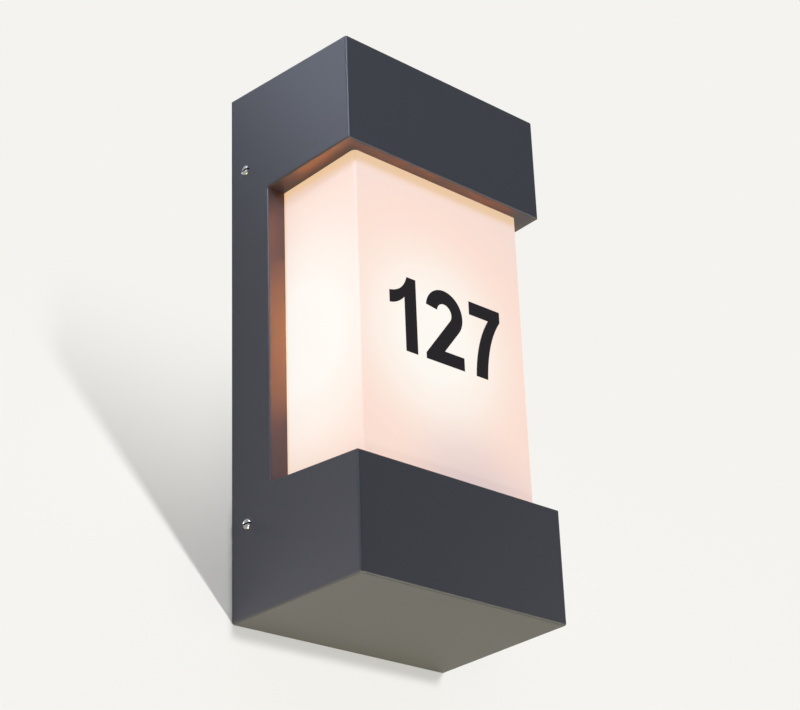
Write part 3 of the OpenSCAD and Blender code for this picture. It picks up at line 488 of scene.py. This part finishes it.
class WALLLIGHT_OT_side_screws(bpy.types.Operator):
    """Finishes the side screws"""
    bl_idname = "wall_light.side_screws"
    bl_label = "Side screws"

    def execute(self, context):
        finish = context.scene.wall_light_finish
        # Stainless steel, turned and tumbled: bright, with fine rings that soften the reflection,
        # and painted shade that turns it black deeper than the rim of its slot.
        material, surface = shader("stainless_steel_turned", Metallic=1.0, Roughness=0.22)
        grain(material, surface, finish.stainless, 0.35 * MM, 0.06, 0.004 * MM, rough=(0.16, 0.3))
        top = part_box("side_screws")[1].x
        place = add(material, "TexCoord")
        axis = add(material, "SeparateXYZ", {0: place.outputs["Object"]})
        out = calc(material, "Math", "ABSOLUTE", axis.outputs["X"])
        # Painted shade: deeper than the slot's rim, the steel turns to the dark shade colour.
        deep = add(material, "MapRange", {
            "Value": out, "From Min": top - 1.15 * MM, "From Max": top - 0.85 * MM})
        steel = surface.inputs["Base Color"].links[0].from_socket
        painted_slot_shade = add(material, "Mix", {
            0: deep.outputs[0], 6: finish.painted_slot_shade, 7: steel}, data_type="RGBA")
        plug(material, surface, Base_Color=painted_slot_shade.outputs[2])
        dress(["side_screws"], material)
        return {"FINISHED"}


class WALLLIGHT_OT_seals(bpy.types.Operator):
    """Finishes seals, gasket and cable inlet"""
    bl_idname = "wall_light.seals"
    bl_label = "Seals"

    def execute(self, context):
        finish = context.scene.wall_light_finish
        # Closed-cell silicone foam, cut from sheet: matt, with fine pores.
        material, surface = shader("silicone_foam_cut", Roughness=0.8)
        grain(material, surface, finish.seal, 0.6 * MM, 0.12, 0.08 * MM)
        dress(["seal_left", "seal_right", "seal_upper", "seal_lower"], material)
        # Closed-cell EPDM foam, die-cut: nearly black, with open pores on the cut edge.
        material, surface = shader("epdm_foam_die_cut", Roughness=0.9)
        grain(material, surface, finish.foam, 0.7 * MM, 0.35, 0.15 * MM)
        dress(["wall_gasket"], material)
        # EPDM rubber, moulded: dull black with a slight bloom.
        material, surface = shader("epdm_rubber_moulded", Roughness=0.6)
        grain(material, surface, finish.rubber, 1.5 * MM, 0.15, 0.02 * MM, rough=(0.5, 0.7))
        dress(["cable_grommet"], material)
        return {"FINISHED"}


class WALLLIGHT_OT_steel(bpy.types.Operator):
    """Finishes the plate, the bracket and the clips"""
    bl_idname = "wall_light.steel"
    bl_label = "Steel sheet"

    def execute(self, context):
        finish = context.scene.wall_light_finish
        # Cold-rolled steel sheet, zinc plated and passivated: a blue-grey sheen with the long
        # lines of the rolling and cloudy patches.
        material, surface = shader("zinc_plated_steel_sheet", Metallic=1.0, Roughness=0.4)
        grain(
            material, surface, finish.zinc, 0.9 * MM, 0.12, 0.006 * MM, rough=(0.3, 0.48),
            stretch=(1, 1, 0.05))
        dress(["wall_plate", "holder_bracket"], material)
        # Stainless spring strip, rolled: brighter, with fine lines along the strip.
        material, surface = shader("stainless_spring_strip_rolled", Metallic=1.0, Roughness=0.28)
        grain(
            material, surface, finish.stainless, 0.4 * MM, 0.08, 0.004 * MM, rough=(0.2, 0.34),
            stretch=(1, 1, 0.06))
        dress([
            "clip_upper_left", "clip_upper_right", "clip_lower_left", "clip_lower_right"], material)
        return {"FINISHED"}


class WALLLIGHT_OT_screws(bpy.types.Operator):
    """Makes the small screws with their recesses"""
    bl_idname = "wall_light.screws"
    bl_label = "Small screws"

    def execute(self, context):
        finish, sizes = settings(context)
        # Cold-headed steel screws, zinc plated in a drum: bright, with small dull spots.
        material, surface = shader("zinc_plated_steel_screws", Metallic=1.0, Roughness=0.3)
        grain(material, surface, finish.screw, 0.6 * MM, 0.1, 0.006 * MM, rough=(0.2, 0.42))
        # Node, body, the way that the heads face (X is away from the middle) and radius in mm.
        rows = (
            ("clip_screws", "cover", (0, 1, 0), 1.5),
            ("bracket_screws", "wall_unit", (0, -1, 0), 2.0),
            ("holder_screws", "wall_unit", (0, 0, -1), 2.0),
            ("terminal_mount_screws", "wall_unit", (0, -1, 0), 1.25),
            ("earth_screw", "wall_unit", (0, -1, 0), 2.0),
            ("holder_terminal_screws", "wall_unit", (1, 0, 0), 1.5),
        )
        for name, body, way, radius in rows:
            bm = bmesh.new()
            for low, high in islands(name):
                middle = (low + high) / 2
                r = radius * MM
                head_h = 1.2 * r
                outward = Vector(way)
                outward.x = math.copysign(outward.x, middle.x)
                long = abs((high - low).dot(outward))
                seat = middle + outward * (long / 2 - head_h)
                turn = Vector((0, 0, 1)).rotation_difference(outward).to_matrix().to_4x4()
                # Each cross stands at its own angle.
                spin = Matrix.Rotation(math.radians(17 + 1000 * middle.x + 700 * middle.z), 4, "Z")
                cross_screw(
                    bm, r, long - head_h, Matrix.Translation(seat) @ turn @ spin,
                    min(sizes.recess_deep, 0.75 * head_h))
            piece(name + "_cross", bm, material, body, [name])
        return {"FINISHED"}


def islands(name):
    """Boxes of the separate solids in a CAD node, in a fixed order."""
    bm = bmesh.new()
    bm.from_mesh(frame["nodes"][name].data)
    bmesh.ops.remove_doubles(bm, verts=bm.verts, dist=0.001 * MM)
    left = set(bm.verts)
    boxes = []
    while left:
        stack = [left.pop()]
        found = []
        while stack:
            vert = stack.pop()
            found.append(vert.co.copy())
            for edge in vert.link_edges:
                other = edge.other_vert(vert)
                if other in left:
                    left.remove(other)
                    stack.append(other)
        low = Vector([min(c[i] for c in found) for i in range(3)])
        high = Vector([max(c[i] for c in found) for i in range(3)])
        boxes.append((low, high))
    bm.free()
    return sorted(boxes, key=lambda box: tuple(round(v, 6) for v in box[0]))


class WALLLIGHT_OT_holder(bpy.types.Operator):
    """Finishes the lampholder and threads its shell"""
    bl_idname = "wall_light.holder"
    bl_label = "Lampholder"

    def execute(self, context):
        finish, sizes = settings(context)
        # Electrical porcelain, pressed, glazed and fired: glassy, with a soft unevenness.
        material, surface = shader(
            "porcelain_glazed", Roughness=0.14, IOR=1.5, Coat_Weight=0.4, Coat_Roughness=0.06)
        grain(material, surface, finish.porcelain, 6 * MM, 0.025, 0.03 * MM)
        dress(["lampholder_body"], material)
        # Brass strip, pressed: warm and bright, slightly tarnished in patches.
        material, surface = shader("brass_pressed", Metallic=1.0, Roughness=0.3)
        grain(material, surface, finish.brass, 3 * MM, 0.14, 0.004 * MM, rough=(0.24, 0.42))
        dress(["centre_contact", "holder_terminals", "terminal_tubes"], material)
        shell_in = CAP_R + sizes.thread_play
        wall = 0.5 * MM
        hole_r = 7 * MM
        low, high = (corner.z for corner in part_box("screw_shell"))
        rows = 100
        heights = [low + wall + (high - low - wall) * i / rows for i in range(rows + 1)]
        bm = bmesh.new()
        lathe(bm, [
            (hole_r, low), (shell_in + wall, low), *((shell_in + wall, z) for z in heights),
            *((shell_in, z) for z in reversed(heights)), (hole_r, low + wall), (hole_r, low),
        ], 96, LAMP_AXIS)
        cut_thread(bm, sizes, low + 2 * wall, high)
        piece("screw_shell_threaded", bm, material, "wall_unit", ["screw_shell"])
        return {"FINISHED"}


def cut_thread(bm, sizes, low, high):
    """Presses the round thread into the walls of a lathed form between two heights."""
    fade = sizes.thread_pitch * 0.7
    for vert in bm.verts:
        x, y, z = vert.co.x, vert.co.y - LAMP_Y, vert.co.z
        radius = math.hypot(x, y)
        if radius < CAP_R - 0.1 * MM or not low < z < high:
            continue
        turn = math.atan2(y, x) / math.tau
        wave = 0.5 + 0.5 * math.cos(math.tau * (z / sizes.thread_pitch - turn))
        ease = min(1, (z - low) / fade, (high - z) / fade)
        shrink = 1 - sizes.thread_deep * wave * ease * ease * (3 - 2 * ease) / radius
        vert.co.x, vert.co.y = x * shrink, y * shrink + LAMP_Y


class WALLLIGHT_OT_terminals(bpy.types.Operator):
    """Finishes the terminal block, its screws and the earth lug"""
    bl_idname = "wall_light.terminals"
    bl_label = "Terminals"

    def execute(self, context):
        finish = context.scene.wall_light_finish
        # Polyamide, injection moulded: waxy white with a fine spark-eroded texture.
        material, surface = shader("polyamide_moulded", Roughness=0.45, IOR=1.53)
        grain(material, surface, finish.block, 0.5 * MM, 0.04, 0.02 * MM, rough=(0.4, 0.52))
        dress(["terminal_block"], material)
        # Tinned copper, pressed: pale grey metal, dull where the tin flowed.
        material, surface = shader("tinned_copper_pressed", Metallic=1.0, Roughness=0.35)
        grain(material, surface, finish.tin, 1.2 * MM, 0.12, 0.01 * MM, rough=(0.28, 0.5))
        dress(["earth_lug"], material)
        # Steel clamp screws, zinc plated, with a sawn slot.
        material, surface = shader("zinc_plated_clamp_screws", Metallic=1.0, Roughness=0.3)
        grain(material, surface, finish.screw, 0.6 * MM, 0.1, 0.006 * MM, rough=(0.2, 0.42))
        bm = bmesh.new()
        for low, high in islands("terminal_screws"):
            slotted_screw(bm, low, high)
        piece(
            "terminal_screws_slotted", bm, material, "wall_unit",
            ["terminal_screws"])
        return {"FINISHED"}


def slotted_screw(bm, low, high):
    """A headless screw along Y with a sawn slot in its front end."""
    r, long = (high.x - low.x) / 2, high.y - low.y
    own = bmesh.new()
    bmesh.ops.create_cone(
        own, cap_ends=True, segments=32, radius1=r, radius2=r, depth=long,
        matrix=Matrix.Translation((0, 0, long / 2)))
    top = [e for e in own.edges if all(v.co.z > long - CLOSE for v in e.verts)]
    bmesh.ops.bevel(
        own, geom=top, offset=0.18 * r, segments=2, profile=0.5, affect="EDGES", material=-1)
    half, deep = 0.22 * r, 0.7 * r
    cuts = (((-half, 0, 0), (1, 0, 0)), ((half, 0, 0), (1, 0, 0)), ((0, 0, long - deep), (0, 0, 1)))
    for where, way in cuts:
        bmesh.ops.bisect_plane(
            own, geom=own.verts[:] + own.edges[:] + own.faces[:], plane_co=where, plane_no=way,
            dist=0.1 * CLOSE)
    middles = [(face, face.calc_center_median()) for face in own.faces]
    gone = [face for face, at in middles if abs(at.x) < half and at.z > long - deep]
    bmesh.ops.delete(own, geom=gone, context="FACES")
    bmesh.ops.holes_fill(own, edges=[e for e in own.edges if e.is_boundary], sides=0)
    turn = Matrix.Translation(((low.x + high.x) / 2, high.y, (low.z + high.z) / 2)) @ FRONT
    bmesh.ops.transform(own, matrix=turn, verts=own.verts)
    data = bpy.data.meshes.new("slotted")
    own.to_mesh(data)
    own.free()
    bm.from_mesh(data)
    bpy.data.meshes.remove(data)


class WALLLIGHT_OT_wires(bpy.types.Operator):
    """Lays the three wires inside the light"""
    bl_idname = "wall_light.wires"
    bl_label = "Wires"

    def execute(self, context):
        finish, sizes = settings(context)
        block_low, block_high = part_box("terminal_block")
        top = block_high.z / MM
        middle = (block_low.x + block_high.x) / 2 / MM
        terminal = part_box("holder_terminals")[0].z / MM
        lamp_y = LAMP_Y / MM
        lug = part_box("earth_lug")
        lug_z = (lug[0].z + lug[1].z) / 2 / MM
        pitch, tube_y = 11, -12
        # Where each wire passes, in millimetres, from its tube to its other end.
        routes = {
            "live": [
                (middle - pitch, tube_y, top - 1.5), (middle - pitch, tube_y, top + 2),
                (-10, -15, top + 4.5), (-16, -22, top + 4.5), (-19, -30, top + 3),
                (-17, lamp_y, terminal - 5), (-17, lamp_y, terminal), (-17, lamp_y, terminal + 3)],
            "neutral": [
                (middle + pitch, tube_y, top - 1.5), (middle + pitch, tube_y, top + 2),
                (16, -15, top + 4.5), (18.5, -22, top + 4.5), (19.5, -30, top + 3),
                (17, lamp_y, terminal - 5), (17, lamp_y, terminal), (17, lamp_y, terminal + 3)],
            "earth": [
                (middle, tube_y, top - 1.5), (middle, tube_y, top + 2), (8, -9.5, top + 4.5),
                (16, -6.5, top + 4), (26, -6, top + 2.5), (32, -5.8, lug_z), (35, -5.8, lug_z),
                (37.9, -5.8, lug_z)],
        }
        for name, route in routes.items():
            path = bpy.data.curves.new(name + "_path", "CURVE")
            path.dimensions = "3D"
            path.bevel_depth = sizes.wire_r
            path.bevel_resolution = 5
            path.resolution_u = 8
            path.use_fill_caps = True
            spline = path.splines.new("BEZIER")
            spline.bezier_points.add(len(route) - 1)
            for point, place in zip(spline.bezier_points, route):
                point.co = Vector(place) * MM
                point.handle_left_type = point.handle_right_type = "AUTO"
            drawn = bpy.data.objects.new(name + "_path", path)
            context.scene.collection.objects.link(drawn)
            context.view_layer.update()
            graph = context.evaluated_depsgraph_get()
            data = bpy.data.meshes.new_from_object(drawn.evaluated_get(graph))
            bpy.data.objects.remove(drawn)
            # Silicone sleeve over stranded copper, extruded: soft sheen, with the faint ribs
            # of the strands showing through.
            material, surface = shader("silicone_sleeve_extruded_" + name, Roughness=0.42)
            if name == "earth":
                place = add(material, "TexCoord")
                side = add(material, "SeparateXYZ", {0: place.outputs["Normal"]})
                mix = add(material, "ValToRGB", {"Fac": side.outputs["Z"]}, stops=[
                    (0.0, finish.earth), (0.3, finish.earth_stripe)])
                mix.color_ramp.interpolation = "CONSTANT"
                plug(material, surface, Base_Color=mix.outputs["Color"])
            else:
                grain(material, surface, getattr(finish, name), 2 * MM, 0.08, 0.03 * MM)
            piece(
                name + "_wire_sleeve", data, material, "wall_unit",
                [name + "_wire"], smooth=60)
        return {"FINISHED"}


class WALLLIGHT_OT_lamp(bpy.types.Operator):
    """Lights the lamp and threads its cap"""
    bl_idname = "wall_light.lamp"
    bl_label = "Lamp"

    def execute(self, context):
        finish, sizes = settings(context)
        # Opal glass, blown and coated inside, with the lamp lit: brightest at the globe, dimmer
        # down the throat, with a clear gloss on top.
        material, surface = shader(
            "opal_glass_blown_lit", Base_Color=finish.lamp_off, Roughness=0.08, IOR=1.52,
            Emission_Strength=finish.lamp_glow)
        place = add(material, "TexCoord")
        away = add(material, "VectorMath", {
            0: place.outputs["Object"], 1: GLOBE}, operation="DISTANCE")
        near = add(material, "MapRange", {
            "Value": away.outputs["Value"], "From Min": GLOBE_R, "From Max": 2.2 * GLOBE_R,
            "To Min": 1.0, "To Max": 0.0})
        shade = add(material, "ValToRGB", {"Fac": near.outputs["Result"]}, stops=[
            (0.0, finish.lamp_foot), (0.6, finish.lamp_neck), (1.0, finish.lamp)])
        plug(material, surface, Emission_Color=shade.outputs["Color"])
        dress(["lamp_glass"], material)
        # Black glass of the cap, poured: deep gloss.
        material, surface = shader("black_cap_glass_poured", Roughness=0.1, IOR=1.52)
        grain(material, surface, finish.cap_glass, 1.5 * MM, 0.3, 0.01 * MM)
        dress(["lamp_insulator"], material)
        # Tin solder, melted: soft grey dome with frosted patches.
        material, surface = shader("tin_solder_melted", Metallic=1.0, Roughness=0.4)
        grain(material, surface, finish.solder, 0.9 * MM, 0.15, 0.03 * MM, rough=(0.28, 0.55))
        dress(["lamp_contact"], material)
        # Nickel-plated brass cap, drawn and rolled: pale warm metal with slight scuffs.
        material, surface = shader("nickel_plated_cap_rolled", Metallic=1.0, Roughness=0.25)
        grain(material, surface, finish.cap, 1.4 * MM, 0.08, 0.005 * MM, rough=(0.16, 0.34))
        # The cap from its tip up: the seat of its glass, a cone, the threaded wall and the rim.
        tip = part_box("lamp_contact")[0].z
        seat, cone, wall_low, wall_high, rim_low, rim_high = (
            tip + z * MM for z in (3.3, 4.5, 6.1, 24, 25, 26))
        seat_r, rim_r, inner_r = 6.5 * MM, 14.1 * MM, 12.2 * MM
        rows = 90
        walls = [wall_low + (wall_high - wall_low) * i / rows for i in range(rows + 1)]
        bm = bmesh.new()
        lathe(bm, [
            (seat_r, seat), (11.5 * MM, cone), *((CAP_R, z) for z in walls),
            (rim_r, rim_low), (rim_r, rim_high), (inner_r, rim_high), (inner_r, wall_high),
            (12.1 * MM, tip + 6.7 * MM), (6.9 * MM, tip + 5.3 * MM),
            (6.9 * MM, seat + 0.6 * MM), (seat_r, seat),
        ], 96, LAMP_AXIS)
        cut_thread(bm, sizes, wall_low, wall_high + 0.01 * MM)
        piece("lamp_cap_threaded", bm, material, "lamp", ["lamp_cap"])
        return {"FINISHED"}


def add_light(name, kind, place, way, energy, tint, receivers):
    """Adds a light that shines one way and falls on some things only."""
    light = bpy.data.lights.new(name, kind)
    light.energy = energy
    light.color = linear(tint)[:3]
    # Sampled from its own side only, so that lights with different receivers add up.
    light.cycles.use_multiple_importance_sampling = False
    thing = bpy.data.objects.new(name, light)
    bpy.context.scene.collection.objects.link(thing)
    turn = Vector(way).to_track_quat("-Z", "Y").to_matrix().to_4x4()
    thing.matrix_world = Matrix.Translation(place) @ turn
    thing.visible_camera = False
    thing.light_linking.receiver_collection = receivers
    return thing


class WALLLIGHT_OT_spill(bpy.types.Operator):
    """Adds the light that leaves the diffuser and falls on the housing"""
    bl_idname = "wall_light.spill"
    bl_label = "Lamp spill"

    def execute(self, context):
        stage = context.scene.wall_light_stage
        lit = bpy.data.collections.new("lit_by_lamp")
        for name in ("housing", "side_screws", "wall_plate"):
            lit.objects.link(frame["nodes"][name])
        gap = 0.3 * MM
        out = SHEET_HALF + gap
        side_y, side_w = (SPINE_FRONT + FACE_Y) / 2, SPINE_FRONT - FACE_Y
        whole = 2 * OPENING_TOP + 6 * MM
        # Place of each flat light, the way that it faces, width, height, share and tint.
        faces = [
            ("front", (0, FACE_Y - gap, 0), (0, -1, 0), 2 * SHEET_HALF, whole, 1.15, "#ff6b00")]
        for side, sign in (("left", -1), ("right", 1)):
            way = (sign, 0, 0)
            faces += [
                (side, (sign * out, side_y, 0), way, side_w, whole, 0.4, "#ff5800"),
                (side + "_middle", (sign * out, SPINE_FRONT - 8 * MM, 0), way,
                 16 * MM, 1.1 * OPENING_TOP, 1.05, "#ff9c27"),
                (side + "_top", (sign * out, FACE_Y + 21 * MM, 58 * MM), way,
                 34 * MM, 20 * MM, 1.8, "#ff9030"),
            ]
        for name, place, way, wide, tall, share, tint in faces:
            energy = share * stage.spill * 4 * math.pi * wide * tall
            lamp = add_light("spill_" + name, "AREA", place, way, energy, tint, lit)
            light = lamp.data
            light.shape = "RECTANGLE"
            light.size, light.size_y = wide, tall
            light.use_nodes = True
            light.node_tree.nodes.clear()
            # The light is strongest half-way up, beside the lamp.
            where = add(light, "NewGeometry")
            across = add(light, "SeparateXYZ", {0: where.outputs["Parametric"]})
            off_middle = calc(light, "Math", "SUBTRACT", across.outputs["Y"], 0.5)
            square = calc(light, "Math", "POWER", off_middle, 2.0)
            fade = calc(light, "Math", "MULTIPLY_ADD", square, -3.0, 1.0)
            shine = add(light, "Emission", {"Strength": fade})
            add(light, "OutputLight", {"Surface": shine.outputs[0]})
            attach(lamp, "cover")
        return {"FINISHED"}


class WALLLIGHT_OT_stage(bpy.types.Operator):
    """Sets wall, floor, lights and camera"""
    bl_idname = "wall_light.stage"
    bl_label = "Stage"

    def execute(self, context):
        stage = context.scene.wall_light_stage
        scene = context.scene
        # Matt white emulsion paint, rolled. It is seen from its front only, and what is behind
        # it still gets the light from all round, so that the back of the light can be looked at.
        # It takes the light's shadow beside the base and fades to a plain backdrop above that.
        material = bpy.data.materials.new("matt_paint_rolled")
        material.use_nodes = True
        tree = material.node_tree
        tree.nodes.clear()
        place = add(material, "TexCoord")
        noise = add(material, "TexNoise", {
            "Vector": place.outputs["Object"], "Scale": 400.0, "Detail": 4.0})
        bump = add(material, "Bump", {"Height": noise.outputs["Fac"], "Distance": 0.02 * MM})
        matt = add(material, "BsdfDiffuse", {
            "Color": stage.backdrop, "Normal": bump.outputs["Normal"]})
        clear = add(material, "BsdfTransparent")
        bright = add(material, "Emission", {"Color": stage.backdrop, "Strength": 1.0})
        high = add(material, "SeparateXYZ", {0: place.outputs["Object"]})
        band = add(material, "MapRange", {
            "Value": high.outputs["Z"], "From Min": SHADOW_LOW, "From Max": SHADOW_HIGH})
        shaded = add(material, "ValToRGB", {"Fac": band.outputs[0]}, stops=[
            (0.0, BLACK), (0.48, WHITE), (0.774, WHITE), (1.0, BLACK)])
        shaded.color_ramp.interpolation = "EASE"
        rays = add(material, "LightPath")
        glossy = rays.outputs["Is Glossy Ray"]
        shaded = calc(material, "Math", "MAXIMUM", shaded.outputs["Color"], glossy)
        face = add(material, "MixShader", {0: shaded, 1: bright.outputs[0], 2: matt.outputs[0]})
        seen = calc(material, "Math", "MAXIMUM", rays.outputs["Is Camera Ray"], glossy)
        seen = calc(material, "Math", "MAXIMUM", seen, rays.outputs["Is Transmission Ray"])
        side = add(material, "NewGeometry")
        shown = add(material, "Math", {
            0: seen, 1: side.outputs["Backfacing"]}, operation="SUBTRACT", use_clamp=True)
        both = add(material, "MixShader", {
            0: shown.outputs[0], 1: clear.outputs[0], 2: face.outputs[0]})
        add(material, "OutputMaterial", {"Surface": both.outputs[0]})
        for name, place, turn in (("wall", WALL, FRONT), ("floor", FLOOR, NO_TURN)):
            bm = bmesh.new()
            bmesh.ops.create_grid(
                bm, x_segments=2, y_segments=2, size=BOARD_HALF,
                matrix=Matrix.Translation(place) @ turn)
            data = bpy.data.meshes.new(name)
            bm.to_mesh(data)
            bm.free()
            data.materials.append(material)
            board = bpy.data.objects.new(name, data)
            scene.collection.objects.link(board)

        world = bpy.data.worlds.new("studio")
        scene.world = world
        world.use_nodes = True
        world.node_tree.nodes.clear()
        rays = add(world, "LightPath")
        sky = add(world, "Background", {"Color": WHITE, "Strength": stage.sky})
        ground = add(world, "Background", {"Color": stage.backdrop, "Strength": 1.0})
        both = add(world, "MixShader", {
            0: rays.outputs["Is Camera Ray"], 1: sky.outputs[0], 2: ground.outputs[0]})
        add(world, "OutputWorld", {"Surface": both.outputs[0]})

        alone = bpy.data.collections.new("wall_light_alone")
        boards = bpy.data.collections.new("backdrop_alone")
        for thing in scene.objects:
            if thing.type == "MESH":
                (boards if thing.name in ("wall", "floor") else alone).objects.link(thing)
        right_low = (1.23, -1, -1.24)
        # Kind, place, size (a sun's is its angle in degrees), power, tint and what it falls on.
        # They all point at the origin.
        lights = {
            "key": ("SUN", right_low, 4, stage.key, "#ffffff", boards),
            "key_front": ("SUN", right_low, 4, stage.key * stage.key_share, "#ffffff", alone),
            "fill": ("SUN", (0.03, -1, 0.1), 4, stage.fill, "#ffffff", boards),
            "bounce": ("SUN", (0, 0.05, -1), 4, stage.bounce, "#ffe882", alone),
            "back": ("SUN", (0, 1, 0.5), 10, stage.back, "#ffffff", alone),
            "side": ("AREA", (-0.2, 0.04, 0.22), 0.12, stage.side, "#d5e0ff", alone),
            "edge": ("AREA", (-0.3775, -0.38, 0.34), 0.1, stage.edge, "#dbe5ff", alone),
            "low": ("AREA", (-0.2, -0.05, -0.22), 0.12, stage.low, "#f0e8ff", alone),
            "high": ("AREA", (0.42, -0.46, 0.33), 0.3, stage.high, "#c2d0ff", alone),
            "right": ("AREA", (0.6, -0.5, 0), 0.3, stage.right, "#ebe8ff", alone),
        }
        for name, (kind, place, size, energy, tint, receivers) in lights.items():
            way = Vector() - Vector(place)
            light = add_light(name, kind, place, way, energy, tint, receivers).data
            if kind == "SUN":
                light.angle = math.radians(size)
            else:
                light.size = size

        a, e = stage.azimuth, stage.elevation
        back = Vector((math.sin(a) * math.cos(e), -math.cos(a) * math.cos(e), math.sin(e)))
        right = Vector((math.cos(a), math.sin(a), 0))
        turn = Matrix((right, back.cross(right), back)).transposed().to_4x4()
        data = bpy.data.cameras.new("camera")
        data.lens = stage.lens
        data.sensor_width = 36
        data.clip_end = 50
        camera = bpy.data.objects.new("camera", data)
        scene.collection.objects.link(camera)
        camera.matrix_world = (
            Matrix.Translation(Vector(stage.aim) + back * stage.distance) @ turn
            @ Matrix.Rotation(stage.roll, 4, "Z"))
        scene.camera = camera
        scene.view_settings.view_transform = "Standard"
        return {"FINISHED"}


OPERATORS = (
    WALLLIGHT_OT_housing, WALLLIGHT_OT_diffuser, WALLLIGHT_OT_figures, WALLLIGHT_OT_side_screws,
    WALLLIGHT_OT_seals, WALLLIGHT_OT_steel, WALLLIGHT_OT_screws, WALLLIGHT_OT_holder,
    WALLLIGHT_OT_terminals, WALLLIGHT_OT_wires, WALLLIGHT_OT_lamp, WALLLIGHT_OT_spill,
    WALLLIGHT_OT_stage,
)
GROUPS = {
    "wall_light_finish": WallLightFinish,
    "wall_light_sizes": WallLightSizes,
    "wall_light_stage": WallLightStage,
}


class WALLLIGHT_PT_panel(bpy.types.Panel):
    """Lists the pieces and their sizes and colours"""
    bl_idname = "WALLLIGHT_PT_panel"
    bl_label = "Wall Light"
    bl_space_type = "VIEW_3D"
    bl_region_type = "UI"
    bl_category = "Wall Light"

    def draw(self, context):
        for operator in OPERATORS:
            self.layout.operator(operator.bl_idname)
        for name, group in GROUPS.items():
            box = self.layout.box()
            for key in group.__annotations__:
                box.prop(getattr(context.scene, name), key)


CLASSES = (*GROUPS.values(), *OPERATORS, WALLLIGHT_PT_panel)


def register():
    for kind in CLASSES:
        bpy.utils.register_class(kind)
    for name, group in GROUPS.items():
        setattr(bpy.types.Scene, name, PointerProperty(type=group))


def unregister():
    for name in GROUPS:
        delattr(bpy.types.Scene, name)
    for kind in reversed(CLASSES):
        bpy.utils.unregister_class(kind)


def main():
    register()
    for operator in OPERATORS:
        family, name = operator.bl_idname.split(".")
        getattr(getattr(bpy.ops, family), name)()


if __name__ == "__main__":
    main()
